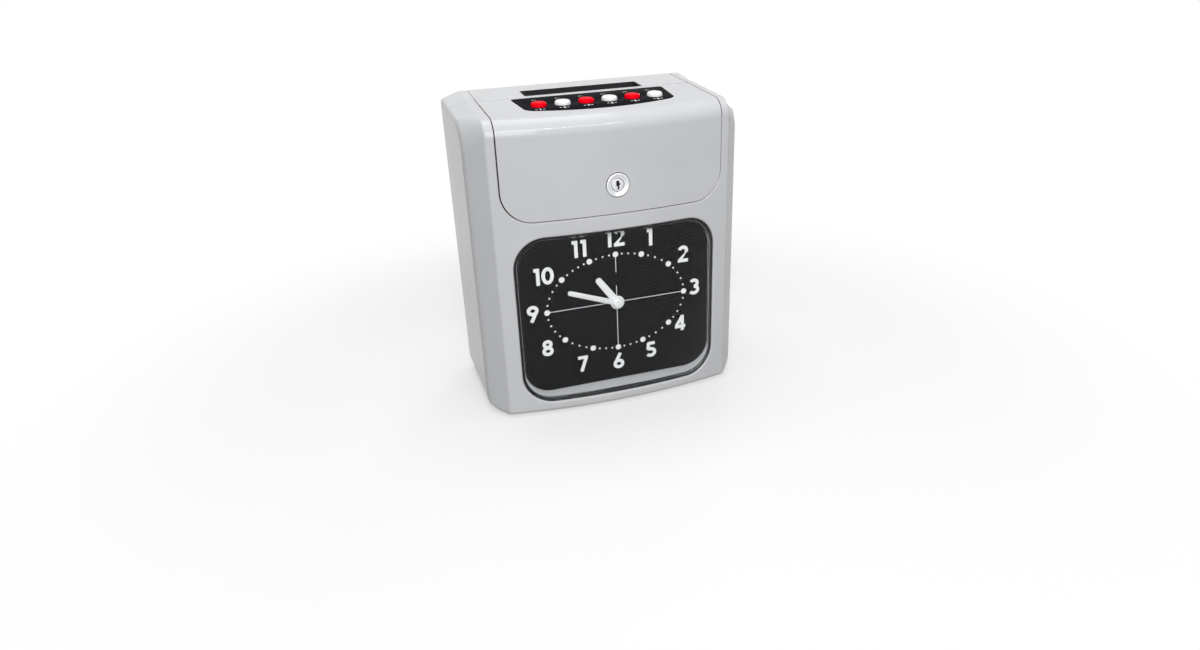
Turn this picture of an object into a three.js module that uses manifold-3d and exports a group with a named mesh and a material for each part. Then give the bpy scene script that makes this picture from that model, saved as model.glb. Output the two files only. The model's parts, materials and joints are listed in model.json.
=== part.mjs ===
// A desk time clock: a card recorder with a dial behind a window, keys on the lid and a card slot on top.
// Millimetres, +Z up. The front faces -Y, and the origin is on the table under the middle of the case.

import * as THREE from 'three';
import { mergeVertices } from 'three/addons/utils/BufferGeometryUtils.js';
import Module from 'manifold-3d';

const wasm = await Module();
wasm.setup();

// Case
const caseWidth = 210;
const caseDepth = 112;
const caseHeight = 237;
const topSlope = 0.08;
const wall = 2.6;
const frontRadius = 455;
const creaseInset = 14;
const bevelDepth = 17;
const bevelDrop = 5;
const bevelLift = 9;
const bevelSwell = 1.3;
const topEdgeRadius = 13;
const sideEdgeRadius = 24;
const rearEdgeRadius = 4;
const bottomEdgeRadius = 3;
const leastEdgeRadius = 0.6;
const deckDrop = 12;
const rearShellDepth = 37;
const footHeight = 2;
const footRadius = 8;
const footInsetX = 27;
const footInsetFront = 24;
const footInsetRear = 14;

// Clearances
const seamGap = 0.5;
const fit = 0.3;
const runningFit = 0.35;

// Lid and its hinge
const lidInset = 21;
const lidStrip = 12.5;
const lidCorner = 22;
const hingeFromRear = 43;
const barrelRadius = 2;
const pinRadius = 1;
const pinEngagement = 8;
const lugWidth = 6;
const lugDepth = 9;
const lugDrop = 6;

// Window, lens and dial
const windowInset = 25.8;
const windowBottom = 10;
const windowBelowTop = 92.5;
const windowCorner = 24;
const lensThickness = 2;
const lensSetback = 0.5;
const bezelFlange = 4;
const bezelLip = 1.4;
const bezelSlope = 5.5;
const dialSetback = 4.45;
const dialThickness = 1.5;
const dialLift = 5.75;

// Hands and movement
const handTime = 10 + 48.4 / 60;
const hourHandLength = 25.5;
const hourHandWidth = 5;
const minuteHandLength = 41.5;
const minuteHandWidth = 3.6;
const handThickness = 0.7;
const handGap = 0.6;
const hubRadius = 4.2;
const hubThickness = 1.4;
const arborRadius = 1.2;
const pipeWall = 0.9;
const movementSize = 58;
const movementDepth = 18;
const movementWall = 1.6;
const wheelThickness = 2.2;
const motionModule = 0.9;
const pinionTeeth = 8;
const motionTeeth = 24;
const hourTeeth = 32;
const knobRadius = 6;
const knobHeight = 4;

// Keys and their panel
const keyCount = 6;
const keyPitch = 17.8;
const keyRadius = 6.1;
const keyHeight = 2.5;
const keyTravel = 1.8;
const keyFlange = 1.1;
const keyFlangeHeight = 1.2;
const stemRadius = 2;
const keyRowShare = 0.4578;
const panelWidth = 119;
const panelFromHinge = 3.5;
const panelStartShare = 0.2901;
const panelSideShare = 0.2366;
const panelTaper = 2.5;
const panelCorner = 6;
const panelThickness = 1.3;
const panelProud = 0.2;
const boardThickness = 1.6;
const keyBoardDrop = 12;
const keyBoardWidth = 116;
const keyBoardDepth = 26;
const switchSize = 6;
const switchHeight = 3;
const postRadius = 2.6;

// Lock
const lockAboveLid = 20.8;
const lockFlangeRadius = 8.8;
const lockFlangeThickness = 2;
const lockProud = 0.8;
const lockBarrelRadius = 7;
const lockBarrelLength = 15;
const lockDishWidth = 1.2;
const lockDishDepth = 0.6;
const plugRadius = 4.6;
const plugRecess = 0.3;
const keyholeWidth = 1.8;
const keyholeHeight = 5.6;
const keyholeDepth = 8;
const nutRadius = 10;
const nutThickness = 3;
const camLength = 22;
const camWidth = 9;
const camThickness = 1.5;
const keeperReach = 9;
const keeperWidth = 18;
const keeperThickness = 1.5;

// Card slot and chute
const slotWidth = 94;
const slotDepth = 18.2;
const deckStrip = 1.1;
const cardWidth = 86;
const cardClearance = 2.5;
const chuteGap = 6.4;
const chuteThickness = 1.5;
const chuteRail = 11.9;
const chuteSideGap = 0.6;
const chuteBelowFeed = 18;
const throatDrop = 9;
const throatWall = 1.5;
const throatLip = 0.8;
const throatNeck = 1.5;

// Mechanism frame and drives
const frameThickness = 1.6;
const frameBeforeScrew = 11;
const frameBelowTop = 37;
const cassetteTabWidth = 8;
const shaftRadius = 2;
const feedBelowPrint = 46;
const feedShaftClearance = 1.3;
const feedRollerWidth = 30;
const pinchShaftClearance = 0.5;
const nipGap = 0.3;
const feedModule = 1.2;
const feedGearTeeth = 30;
const feedPinionTeeth = 10;
const gearWidth = 4;
const motorRadius = 13;
const motorLength = 24;
const motorAngle = 215;
const printBelowCassette = 18;
const rodRadius = 2.5;
const rodToChute = 18.5;
const screwToRod = 13;
const screwIntoMotor = 9;
const carriageWidth = 28;
const carriageHeight = 18;
const headWidth = 18;
const headHeight = 12;
const platenHeight = 9;
const platenDepth = 8;
const carriageTravel = 30;

// Ribbon cassette
const cassetteBelowFrameTop = 14;
const cassetteHeight = 11;
const cassetteDepth = 30;
const cassetteArm = 6;
const ribbonKnobRadius = 7;
const ribbonKnobHeight = 5;

// Electrics
const boardWidth = 140;
const boardBottom = 60;
const boardBelowTop = 57;
const boardStandOff = 6.5;
const chipSize = 24;
const chipHeight = 2;
const chipFromTop = 28;
const plugLength = 24;
const plugHeight = 8;
const partProud = 5;
const capacitorRadius = 6;
const boardEdge = 6;
const transformerWidth = 44;
const transformerDepth = 36;
const transformerHeight = 42;
const windingInset = 9;
const coreInset = 8;
const batteryWidth = 38;
const batteryDepth = 30;
const batteryHeight = 24;
const inletWidth = 22;
const inletHeight = 16;
const inletDepth = 14;
const inletRim = 2;
const inletRecess = 3;
const bladeRecess = 5.5;
const bladePitch = 5;
const bladeWidth = 1.2;
const bladeHeight = 4;

// Case screws and wall hangers
const screwInset = 17;
const screwLow = 32;
const screwBelowTop = 32;
const screwRadius = 1.6;
const screwHeadRadius = 3.4;
const screwHeadHeight = 2.4;
const screwDriveWidth = 1;
const screwDriveLength = 4.4;
const screwDriveDepth = 1.1;
const bossRadius = 5;
const bossLength = 22;
const counterbore = 7;
const hangerSpacing = 120;
const hangerBelowTop = 51;
const hangerHeadRadius = 4.6;
const hangerSlotWidth = 4.6;
const hangerSlotLength = 9;
const ventCount = 9;
const ventWidth = 3;
const ventLength = 34;
const ventPitch = 9;
const ventHeight = 52;

// Values worked out from the ones above
const halfWidth = caseWidth / 2;
const crease = halfWidth - creaseInset;
const floor = footHeight + wall;
const seam = caseDepth - rearShellDepth;
const hingeFromFront = caseDepth - hingeFromRear;
const panelRear = hingeFromFront - panelFromHinge;
const panelFront = panelStartShare * panelRear;
const panelSideFront = panelFront + panelSideShare * (panelRear - panelFront);
const keyRowFromFront = panelFront + keyRowShare * (panelRear - panelFront);
const windowTop = caseHeight - windowBelowTop;
const dialCentre = (windowBottom + windowTop) / 2 + dialLift;
const lidBottom = windowTop + lidStrip;
const lockHeight = lidBottom + lockAboveLid;
const frameTop = caseHeight - frameBelowTop;
const cassetteBottom = frameTop - cassetteBelowFrameTop;
const printHeight = cassetteBottom - printBelowCassette;
const feedHeight = printHeight - feedBelowPrint;
const chuteBottom = feedHeight - chuteBelowFeed;
const boardTop = caseHeight - boardBelowTop;
const screwHigh = caseHeight - screwBelowTop;
const hangerHeight = caseHeight - hangerBelowTop;
const slopeAngle = Math.atan(topSlope);
const lidHalf = halfWidth - lidInset;
const windowHalf = halfWidth - windowInset;
const dialFront = frontAt(windowHalf) + dialSetback;
const movementFront = dialFront + dialThickness;
const chuteCentre = hingeFromFront + barrelRadius + seamGap + deckStrip + slotDepth / 2;
const chuteFrontFace = chuteCentre - chuteGap / 2;
const chuteRearFace = chuteCentre + chuteGap / 2;
const cardHalf = cardWidth / 2 + cardClearance;
const chuteHalfWidth = cardHalf + chuteRail;
const frameHalfWidth = chuteHalfWidth + chuteSideGap;
const rodFromFront = chuteFrontFace - rodToChute;
const screwFromFront = rodFromFront - screwToRod;
const cassetteFront = rodFromFront - cassetteDepth;
const frameFront = screwFromFront - frameBeforeScrew;
const boardRear = caseDepth - wall - boardStandOff - fit;
const frameRear = boardRear - boardThickness - partProud - runningFit;
const rearWallFace = caseDepth - wall;
const hourAngle = handTime * Math.PI / 6;
const minuteAngle = (handTime % 1) * 2 * Math.PI;
const frameFloor = floor + fit;
const shaftToNip = chuteGap / 2 + chuteThickness + shaftRadius;
const feedRollerRadius = shaftToNip + feedShaftClearance - nipGap / 2;
const pinchRollerRadius = shaftToNip + pinchShaftClearance - nipGap / 2;
const frameOuter = frameHalfWidth + frameThickness;

const bevelShares = [0.45, 0.8, 1];

const round = 24;

// Turns a closed three.js geometry into a solid.
function solid(geometry) {
  const bare = geometry.index ? geometry.clone() : mergeVertices(geometry.clone());
  bare.deleteAttribute('normal');
  bare.deleteAttribute('uv');
  const merged = mergeVertices(bare, 1e-4);
  return new wasm.Manifold(new wasm.Mesh({
    numProp: 3,
    vertProperties: new Float32Array(merged.attributes.position.array),
    triVerts: new Uint32Array(merged.index.array),
  }));
}

// Turns a solid back into a three.js geometry.
function geometryOf(body) {
  const mesh = body.getMesh();
  const geometry = new THREE.BufferGeometry();
  geometry.setAttribute('position', new THREE.BufferAttribute(mesh.vertProperties, 3));
  geometry.setIndex(new THREE.BufferAttribute(mesh.triVerts, 1));
  return geometry;
}

function join(...bodies) {
  return bodies.reduce((whole, next) => whole.add(next));
}

function cut(body, ...tools) {
  return tools.reduce((rest, tool) => rest.subtract(tool), body);
}

// A box from its lowest to its highest corner.
function block(x0, x1, y0, y1, z0, z1) {
  const geometry = new THREE.BoxGeometry(x1 - x0, y1 - y0, z1 - z0);
  return solid(geometry.translate((x0 + x1) / 2, (y0 + y1) / 2, (z0 + z1) / 2));
}

// A cylinder along an axis, from one end to the other, at the two remaining coordinates.
function rod(axis, radius, from, to, a, b, sides = round) {
  const geometry = new THREE.CylinderGeometry(radius, radius, to - from, sides);
  const middle = (from + to) / 2;
  if (axis === 'x') geometry.rotateZ(-Math.PI / 2).translate(middle, a, b);
  if (axis === 'y') geometry.translate(a, middle, b);
  if (axis === 'z') geometry.rotateX(Math.PI / 2).translate(a, b, middle);
  return solid(geometry);
}

const upright = new THREE.Matrix4().makeBasis(
  new THREE.Vector3(1, 0, 0), new THREE.Vector3(0, 0, 1), new THREE.Vector3(0, -1, 0));

function extrude(shape, depth, steps = 6) {
  return new THREE.ExtrudeGeometry(shape, { depth, bevelEnabled: false, curveSegments: steps });
}

// A shape drawn in X and Z, carried from front to rear.
function slabY(shape, front, rear, steps) {
  return solid(extrude(shape, rear - front, steps).applyMatrix4(upright).translate(0, rear, 0));
}

// A shape drawn in X and Y, carried upwards.
function slabZ(shape, low, high, steps) {
  return solid(extrude(shape, high - low, steps).translate(0, 0, low));
}

function roundedRect(x0, x1, y0, y1, radius) {
  const shape = new THREE.Shape();
  shape.moveTo(x0 + radius, y0);
  shape.lineTo(x1 - radius, y0);
  shape.absarc(x1 - radius, y0 + radius, radius, -Math.PI / 2, 0);
  shape.lineTo(x1, y1 - radius);
  shape.absarc(x1 - radius, y1 - radius, radius, 0, Math.PI / 2);
  shape.lineTo(x0 + radius, y1);
  shape.absarc(x0 + radius, y1 - radius, radius, Math.PI / 2, Math.PI);
  shape.lineTo(x0, y0 + radius);
  shape.absarc(x0 + radius, y0 + radius, radius, Math.PI, Math.PI * 1.5);
  return shape;
}

// A turned body: a profile of [radius, height] pairs about the Z axis.
function turned(profile, sides = round) {
  const points = profile.map(([radius, height]) => new THREE.Vector2(radius, height));
  return solid(new THREE.LatheGeometry(points, sides).rotateX(Math.PI / 2));
}

// Skins a row of rings that all have the same number of points, and closes both ends.
function loft(rings) {
  const count = rings[0].length;
  const positions = rings.flat(2);
  const index = [];
  for (let ring = 0; ring < rings.length - 1; ring += 1) {
    for (let i = 0; i < count; i += 1) {
      const a = ring * count + i;
      const b = ring * count + (i + 1) % count;
      index.push(a, b, b + count, a, b + count, a + count);
    }
  }
  const last = (rings.length - 1) * count;
  for (let i = 1; i < count - 1; i += 1) {
    index.push(0, i + 1, i, last, last + i, last + i + 1);
  }
  const geometry = new THREE.BufferGeometry();
  geometry.setAttribute('position', new THREE.Float32BufferAttribute(positions, 3));
  geometry.setIndex(index);
  return solid(geometry);
}

// The points of a closed outline whose corners are rounded, each with its own radius.
function softened(corners, steps) {
  return corners.flatMap(({ at, radius, fineness }, i) => {
    const before = corners[(i + corners.length - 1) % corners.length].at;
    const after = corners[(i + 1) % corners.length].at;
    const into = new THREE.Vector2(before[0] - at[0], before[1] - at[1]).normalize();
    const out = new THREE.Vector2(after[0] - at[0], after[1] - at[1]).normalize();
    const half = Math.acos(into.dot(out)) / 2;
    const reach = radius / Math.tan(half);
    const start = new THREE.Vector2(...at).addScaledVector(into, reach);
    const end = new THREE.Vector2(...at).addScaledVector(out, reach);
    const middle = into.clone().add(out).normalize().multiplyScalar(radius / Math.sin(half));
    const centre = new THREE.Vector2(...at).add(middle);
    const from = start.clone().sub(centre).angle();
    let sweep = end.clone().sub(centre).angle() - from;
    if (sweep > Math.PI) sweep -= 2 * Math.PI;
    if (sweep < -Math.PI) sweep += 2 * Math.PI;
    const total = fineness || steps;
    return Array.from({ length: total + 1 }, (_, k) => {
      const angle = from + sweep * k / total;
      return [centre.x + radius * Math.cos(angle), centre.y + radius * Math.sin(angle)];
    });
  });
}

// How far the bowed front lies behind its foremost line.
function frontAt(x) {
  return frontRadius - Math.sqrt(frontRadius * frontRadius - x * x);
}

// The height of the sloping top at a distance from the front.
function topAt(y) {
  return caseHeight - topSlope * (caseDepth - y);
}

// The case's outer form, drawn in by an inset: the form itself, the inside of its wall, or a skin between.
function caseForm(inset) {
  const ring = (x, front, drop, lift, radius) => {
    const low = footHeight + lift + inset;
    const near = front + inset;
    const far = caseDepth - inset;
    const trim = (size) => Math.max(size - inset, leastEdgeRadius);
    const outline = softened([
      { at: [near, low], radius: trim(bottomEdgeRadius) },
      { at: [far, low], radius: trim(rearEdgeRadius) },
      { at: [far, topAt(far) - drop - inset], radius: trim(rearEdgeRadius) },
      { at: [near, topAt(near) - drop - inset], radius: trim(radius), fineness: 6 },
    ], 2);
    return outline.map(([y, z]) => [x, y, z]);
  };
  const steps = 4;
  const inner = Array.from({ length: 2 * steps + 1 }, (_, k) => (crease - inset / 2) * (k / steps - 1));
  const rings = inner.map((x) => ring(x, frontAt(x), 0, 0, topEdgeRadius));
  const creaseX = crease - inset / 2;
  for (const share of bevelShares) {
    const x = creaseX + share * (halfWidth - inset - creaseX);
    const front = frontAt(crease) + share * bevelDepth;
    const lift = bevelLift * (1 - Math.sqrt(1 - share * share));
    const radius = topEdgeRadius + share * (sideEdgeRadius - topEdgeRadius);
    rings.unshift(ring(-x, front, bevelDrop * share ** bevelSwell, lift, radius));
    rings.push(ring(x, front, bevelDrop * share ** bevelSwell, lift, radius));
  }
  return loft(rings);
}

const outerForm = caseForm(0);
const innerForm = caseForm(wall);
const insideForm = caseForm(wall + fit);
const shell = cut(outerForm, innerForm);
const far = 400;

// Everything in front of, or behind, a plane across the case.
function inFrontOf(y) {
  return block(-far, far, -far, y, -far, far);
}

function behind(y) {
  return block(-far, far, y, far, -far, far);
}

// The lid's outline seen from the front, grown by a margin.
function lidOutline(margin) {
  return roundedRect(-lidHalf - margin, lidHalf + margin, lidBottom - margin, caseHeight + far, lidCorner + margin);
}

// The space that the lid takes up, from the front to its hinge.
function lidSpace(margin) {
  return slabY(lidOutline(margin), -far, hingeFromFront + margin, 6);
}

// The window's outline as points, grown by a margin.
function windowPoints(margin) {
  const radius = windowCorner + margin;
  const x = windowHalf + margin;
  const low = windowBottom - margin;
  const high = windowTop + margin;
  return softened([
    { at: [-x, low], radius }, { at: [x, low], radius }, { at: [x, high], radius }, { at: [-x, high], radius },
  ], 6);
}

function windowOutline(margin) {
  return new THREE.Shape(windowPoints(margin).map(([x, z]) => new THREE.Vector2(x, z)));
}

const hingeHeight = topAt(hingeFromFront) - barrelRadius;
const deckFront = hingeFromFront + barrelRadius + seamGap;
const deckBottom = caseHeight - deckDrop;
const slotFront = deckFront + deckStrip;
const slotRear = slotFront + slotDepth;

// The deck behind the lid, as a block that the case wall is cut with.
function deckSpace(margin) {
  return block(-lidHalf - margin, lidHalf + margin, hingeFromFront - margin, far, deckBottom - margin, far);
}

function screwPlaces() {
  const x = halfWidth - screwInset;
  return [
    ['lower_left', -x, screwLow], ['lower_right', x, screwLow],
    ['upper_left', -x, screwHigh], ['upper_right', x, screwHigh],
  ];
}

// The front housing: side walls, the frame round the window and the strips beside the lid.
function frontHousing() {
  const sideWallX = halfWidth - wall / 2;
  const bosses = screwPlaces().map(([, x, z]) => {
    const sign = Math.sign(x);
    const inner = Math.min(Math.abs(x), sideWallX);
    const web = block(
      Math.min(sign * inner, sign * sideWallX), Math.max(sign * inner, sign * sideWallX),
      seam - bossLength, seam, z - wall / 2, z + wall / 2);
    return join(rod('y', bossRadius, seam - bossLength, seam, x, z, 16), web);
  });
  const bores = screwPlaces().map(([, x, z]) =>
    rod('y', screwRadius + fit, seam - bossLength + wall, seam + 1, x, z, 12));
  const walls = cut(
    shell.intersect(inFrontOf(seam)),
    lidSpace(seamGap), deckSpace(seamGap), slabY(windowOutline(0), -far, seam, 6));
  const pinBore = rod('x', pinRadius + fit, -halfWidth + wall, halfWidth - wall, hingeFromFront, hingeHeight, 12);
  return cut(join(walls, ...bosses, ...hingeLugs(0)).intersect(outerForm), ...bores, pinBore);
}

// The two lugs that hold the hinge pins, grown by a margin.
function hingeLugs(margin) {
  return [-1, 1].map((side) => {
    const near = lidHalf + seamGap - margin;
    const ends = [side * near, side * (near + lugWidth + 2 * margin)].sort((a, b) => a - b);
    const reach = lugDepth / 2 + margin;
    return block(
      ends[0], ends[1], hingeFromFront - reach, hingeFromFront + reach,
      hingeHeight - lugDrop / 2 - margin, topAt(hingeFromFront) - wall / 2 + margin);
  });
}

// The rear shell, with its hanger slots, vents, screw towers and inlet cut-out.
function rearCase() {
  const start = seam + seamGap;
  const towers = screwPlaces().map(([, x, z]) => rod('y', bossRadius, start, rearWallFace + 0.5, x, z, 16));
  const bores = screwPlaces().flatMap(([, x, z]) => [
    rod('y', screwRadius + fit, start - 1, far, x, z, 12),
    rod('y', screwHeadRadius + fit, caseDepth - counterbore, far, x, z, 16),
  ]);
  const standOffs = boardPosts().map(([x, z]) =>
    rod('y', postRadius, rearWallFace - boardStandOff, rearWallFace + 0.5, x, z, 12));
  const hangers = [-1, 1].flatMap((side) => [
    rod('y', hangerHeadRadius, rearWallFace - 1, far, side * hangerSpacing / 2, hangerHeight, 16),
    block(
      side * hangerSpacing / 2 - hangerSlotWidth / 2, side * hangerSpacing / 2 + hangerSlotWidth / 2,
      rearWallFace - 1, far, hangerHeight, hangerHeight + hangerHeadRadius + hangerSlotLength),
  ]);
  const vents = Array.from({ length: ventCount }, (_, k) => {
    const x = (k - (ventCount - 1) / 2) * ventPitch;
    return block(x - ventWidth / 2, x + ventWidth / 2, rearWallFace - 1, far, ventHeight, ventHeight + ventLength);
  });
  const inlet = inletBox(fit);
  const body = join(shell.intersect(behind(start)), ...towers, ...standOffs);
  return cut(
    body, ...bores, ...hangers, ...vents, inlet, deckSpace(seamGap), lidSpace(seamGap), ...hingeLugs(fit));
}

function inletBox(margin) {
  const x = halfWidth - screwInset - bossRadius - inletWidth;
  const z = screwLow - inletHeight / 2;
  return block(
    x - inletWidth / 2 - margin, x + inletWidth / 2 + margin, caseDepth - inletDepth, caseDepth + 1,
    z - margin, z + inletHeight + margin);
}

// The appliance inlet, a socket with three blades, set into the rear wall.
function powerInlet() {
  const x = halfWidth - screwInset - bossRadius - inletWidth;
  const z = screwLow;
  const mouth = block(
    x - inletWidth / 2 + inletRim, x + inletWidth / 2 - inletRim, caseDepth - inletDepth + inletRecess, caseDepth + 2,
    z - inletHeight / 2 + inletRim, z + inletHeight / 2 - inletRim);
  const blades = [-1, 0, 1].map((k) => block(
    x + k * bladePitch - bladeWidth / 2, x + k * bladePitch + bladeWidth / 2,
    caseDepth - inletDepth + 1, caseDepth - bladeRecess, z - bladeHeight / 2, z + bladeHeight / 2));
  return join(cut(inletBox(0).intersect(inFrontOf(caseDepth)), mouth), ...blades);
}

// The deck behind the lid, with the card slot.
function rearDeck() {
  const plate = shell.intersect(block(-lidHalf, lidHalf, deckFront, far, deckBottom, far));
  const opening = block(-slotWidth / 2, slotWidth / 2, slotFront, slotRear, 0, far);
  return cut(plate, opening);
}

// A frustum between two level rectangles, each given as [x half, y from, y to, z].
function funnel(low, high) {
  const ring = ([x, y0, y1, z]) => [[-x, y0, z], [x, y0, z], [x, y1, z], [-x, y1, z]];
  return loft([ring(low), ring(high)]);
}

// The black throat that leads a card from the deck into the chute.
function cardThroat() {
  const bottom = topAt(slotFront) - throatDrop;
  const lip = topAt(slotFront) - throatLip;
  const body = block(
    -slotWidth / 2 + fit, slotWidth / 2 - fit, slotFront + fit, slotRear - fit, bottom, lip);
  const mouth = funnel(
    [cardHalf, chuteFrontFace, chuteRearFace, bottom + throatNeck],
    [slotWidth / 2 - throatWall, slotFront + throatWall, slotRear - throatWall, lip + 0.01]);
  const neck = block(-cardHalf, cardHalf, chuteFrontFace, chuteRearFace, bottom - 1, bottom + throatNeck + 0.5);
  return cut(body, mouth, neck);
}

const chuteTop = topAt(slotFront) - throatDrop - fit;

// The front guide of the chute, with windows for the print head and the feed roller.
function chuteFront() {
  const plate = block(
    -chuteHalfWidth, chuteHalfWidth, chuteFrontFace - chuteThickness, chuteFrontFace, chuteBottom, chuteTop);
  const printWindow = block(
    -carriageTravel - headWidth / 2 - 2, carriageTravel + headWidth / 2 + 2, 0, far,
    printHeight - headHeight / 2 - 1, printHeight + headHeight / 2 + 1);
  return cut(plate, printWindow, rollerWindow());
}

function rollerWindow() {
  return block(
    -feedRollerWidth / 2 - 2, feedRollerWidth / 2 + 2, 0, far,
    feedHeight - feedRollerRadius - 1, feedHeight + feedRollerRadius + 1);
}

// The rear guide of the chute, a channel as wide as a card.
function chuteRear() {
  const plate = block(
    -chuteHalfWidth, chuteHalfWidth, chuteRearFace, chuteRearFace + chuteThickness, chuteBottom, chuteTop);
  const rails = [-1, 1].map((side) => {
    const ends = [side * cardHalf, side * chuteHalfWidth].sort((a, b) => a - b);
    return block(ends[0], ends[1], chuteFrontFace + fit, chuteRearFace, chuteBottom, chuteTop);
  });
  const platenWindow = block(
    -cardHalf - fit, cardHalf + fit, chuteRearFace - 0.01, far,
    printHeight - platenHeight / 2 - fit, printHeight + platenHeight / 2 + fit);
  return cut(join(plate, ...rails), platenWindow, rollerWindow());
}

// The rubber bar that the needles strike against.
function platenBar() {
  return block(
    -cardHalf, cardHalf, chuteRearFace, chuteRearFace + platenDepth,
    printHeight - platenHeight / 2, printHeight + platenHeight / 2);
}

// The clear window, bowed like the front it lies in.
function windowLens() {
  const outline = slabY(windowOutline(-seamGap), -far, dialFront, 6);
  return cut(caseForm(lensSetback), caseForm(lensSetback + lensThickness)).intersect(outline);
}

// The sloping frame between the window and the dial.
function dialBezel() {
  const body = slabY(windowOutline(bezelFlange), -far, dialFront - fit, 6).intersect(insideForm);
  const outlineRing = (margin, y) => windowPoints(margin).map(([x, z]) => [x, y, z]);
  const hole = loft([
    outlineRing(-bezelLip, -1), outlineRing(-bezelLip, wall), outlineRing(-bezelLip - bezelSlope, dialFront + 1),
  ].map((ring) => ring.slice().reverse()));
  return cut(body, hole);
}

function dialPlate() {
  const margin = bezelFlange - 1;
  const plate = slabY(windowOutline(margin), dialFront, dialFront + dialThickness, 6).intersect(insideForm);
  return cut(plate, rod('y', arborRadius + 2 * pipeWall + 3 * fit, 0, far, 0, dialCentre));
}

// A hand with a round tip and a round eye, pointing up from the dial's centre.
function handShape(length, width, eye, hole) {
  const shape = new THREE.Shape();
  const half = width / 2;
  const lift = Math.sqrt(eye * eye - half * half);
  const low = Math.atan2(lift, half);
  shape.moveTo(half, lift);
  shape.lineTo(half, length - half);
  shape.absarc(0, length - half, half, 0, Math.PI);
  shape.lineTo(-half, lift);
  shape.absarc(0, 0, eye, Math.PI - low, 2 * Math.PI + low);
  const bore = new THREE.Path();
  bore.absarc(0, 0, hole, 0, 2 * Math.PI, true);
  shape.holes.push(bore);
  return shape;
}

// Turns a body about the arbor's line, clockwise as seen from the front.
function clockTurn(body, angle) {
  const degrees = THREE.MathUtils.radToDeg(angle);
  return body.translate([0, 0, -dialCentre]).rotate([0, degrees, 0]).translate([0, 0, dialCentre]);
}

const hourHandFront = dialFront - 2 * handGap - handThickness;
const minuteHandFront = hourHandFront - handGap - handThickness;
const hubFront = minuteHandFront - hubThickness - fit;
const wheelPlane = movementFront + movementWall + 1;
const pipeRadius = arborRadius + fit + pipeWall;
const motionCentreX = motionModule * (pinionTeeth + motionTeeth) / 2 + 0.15 * motionModule;
const hourModule = motionModule * (pinionTeeth + motionTeeth) / (pinionTeeth + hourTeeth);

// A spur wheel lying across the Y axis, with teeth cut for free running.
function wheel(teeth, module, front, rear, phase = 0) {
  const pitch = teeth * module / 2;
  const tip = pitch + 0.75 * module;
  const root = pitch - 1.1 * module;
  const step = 2 * Math.PI / teeth;
  const shape = new THREE.Shape();
  for (let k = 0; k < teeth; k += 1) {
    const middle = (k + phase) * step;
    const corners = [
      [root, -0.32], [tip, -0.13], [tip, 0.13], [root, 0.32],
    ].map(([radius, share]) => [radius * Math.sin(middle + share * step), radius * Math.cos(middle + share * step)]);
    corners.forEach(([x, y], i) => (k + i === 0 ? shape.moveTo(x, y) : shape.lineTo(x, y)));
  }
  shape.closePath();
  return slabY(shape, front, rear, 1);
}

function atDial(body, x = 0) {
  return body.translate([x, 0, dialCentre]);
}

function minuteHand() {
  const shape = handShape(minuteHandLength, minuteHandWidth, hubRadius - 0.6, arborRadius + fit);
  const hand = slabY(shape, minuteHandFront, minuteHandFront + handThickness, 8);
  return clockTurn(atDial(hand), minuteAngle);
}

function hourHand() {
  const shape = handShape(hourHandLength, hourHandWidth, hubRadius, pipeRadius + fit);
  const hand = slabY(shape, hourHandFront, hourHandFront + handThickness, 8);
  return clockTurn(atDial(hand), hourAngle);
}

function handCap() {
  const edge = 0.5;
  const profile = [
    [0, 0], [hubRadius, 0], [hubRadius, hubThickness - edge], [hubRadius - edge, hubThickness], [0, hubThickness],
  ];
  return turned(profile).rotate([90, 0, 0]).translate([0, hubFront + hubThickness, dialCentre]);
}

// The minute arbor, with the pinion that drives the motion wheel.
function minuteArbor() {
  const shaft = rod('y', arborRadius, hubFront + hubThickness + fit, wheelPlane + 2 * wheelThickness + 3, 0, 0, 16);
  const front = wheelPlane + wheelThickness + fit;
  return atDial(join(shaft, wheel(pinionTeeth, motionModule, front, front + wheelThickness)));
}

// The hour pipe over the arbor, with the hour wheel on it.
function hourPipe() {
  const tube = rod('y', pipeRadius, hourHandFront - fit, wheelPlane + 0.5, 0, 0, 16);
  const bore = rod('y', arborRadius + fit, -far, far, 0, 0, 16);
  return atDial(cut(join(tube, wheel(hourTeeth, hourModule, wheelPlane, wheelPlane + wheelThickness)), bore));
}

// The motion wheel and its pinion, on the arbor that the setting knob turns.
function motionWheel() {
  const upper = wheelPlane + wheelThickness + fit;
  const phase = 0.5;
  const big = wheel(motionTeeth, motionModule, upper, upper + wheelThickness, phase);
  const small = wheel(pinionTeeth, hourModule, wheelPlane, upper + 0.1, phase);
  const back = movementFront + movementDepth + fit + knobHeight / 2;
  const arbor = rod('y', arborRadius, wheelPlane - 0.5, back, 0, 0, 12);
  return atDial(join(turnUpright(big), turnUpright(small), arbor), motionCentreX);
}

// Turns a wheel so that its teeth meet those of the wheel beside it.
function turnUpright(body) {
  return body.rotate([0, 90, 0]);
}

function setKnob() {
  const front = movementFront + movementDepth + fit;
  const grip = rod('y', knobRadius, front, front + knobHeight, 0, 0, 16);
  const socket = rod('y', arborRadius + fit, -far, front + knobHeight / 2 + fit, 0, 0, 12);
  return atDial(cut(grip, socket), motionCentreX);
}

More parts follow.
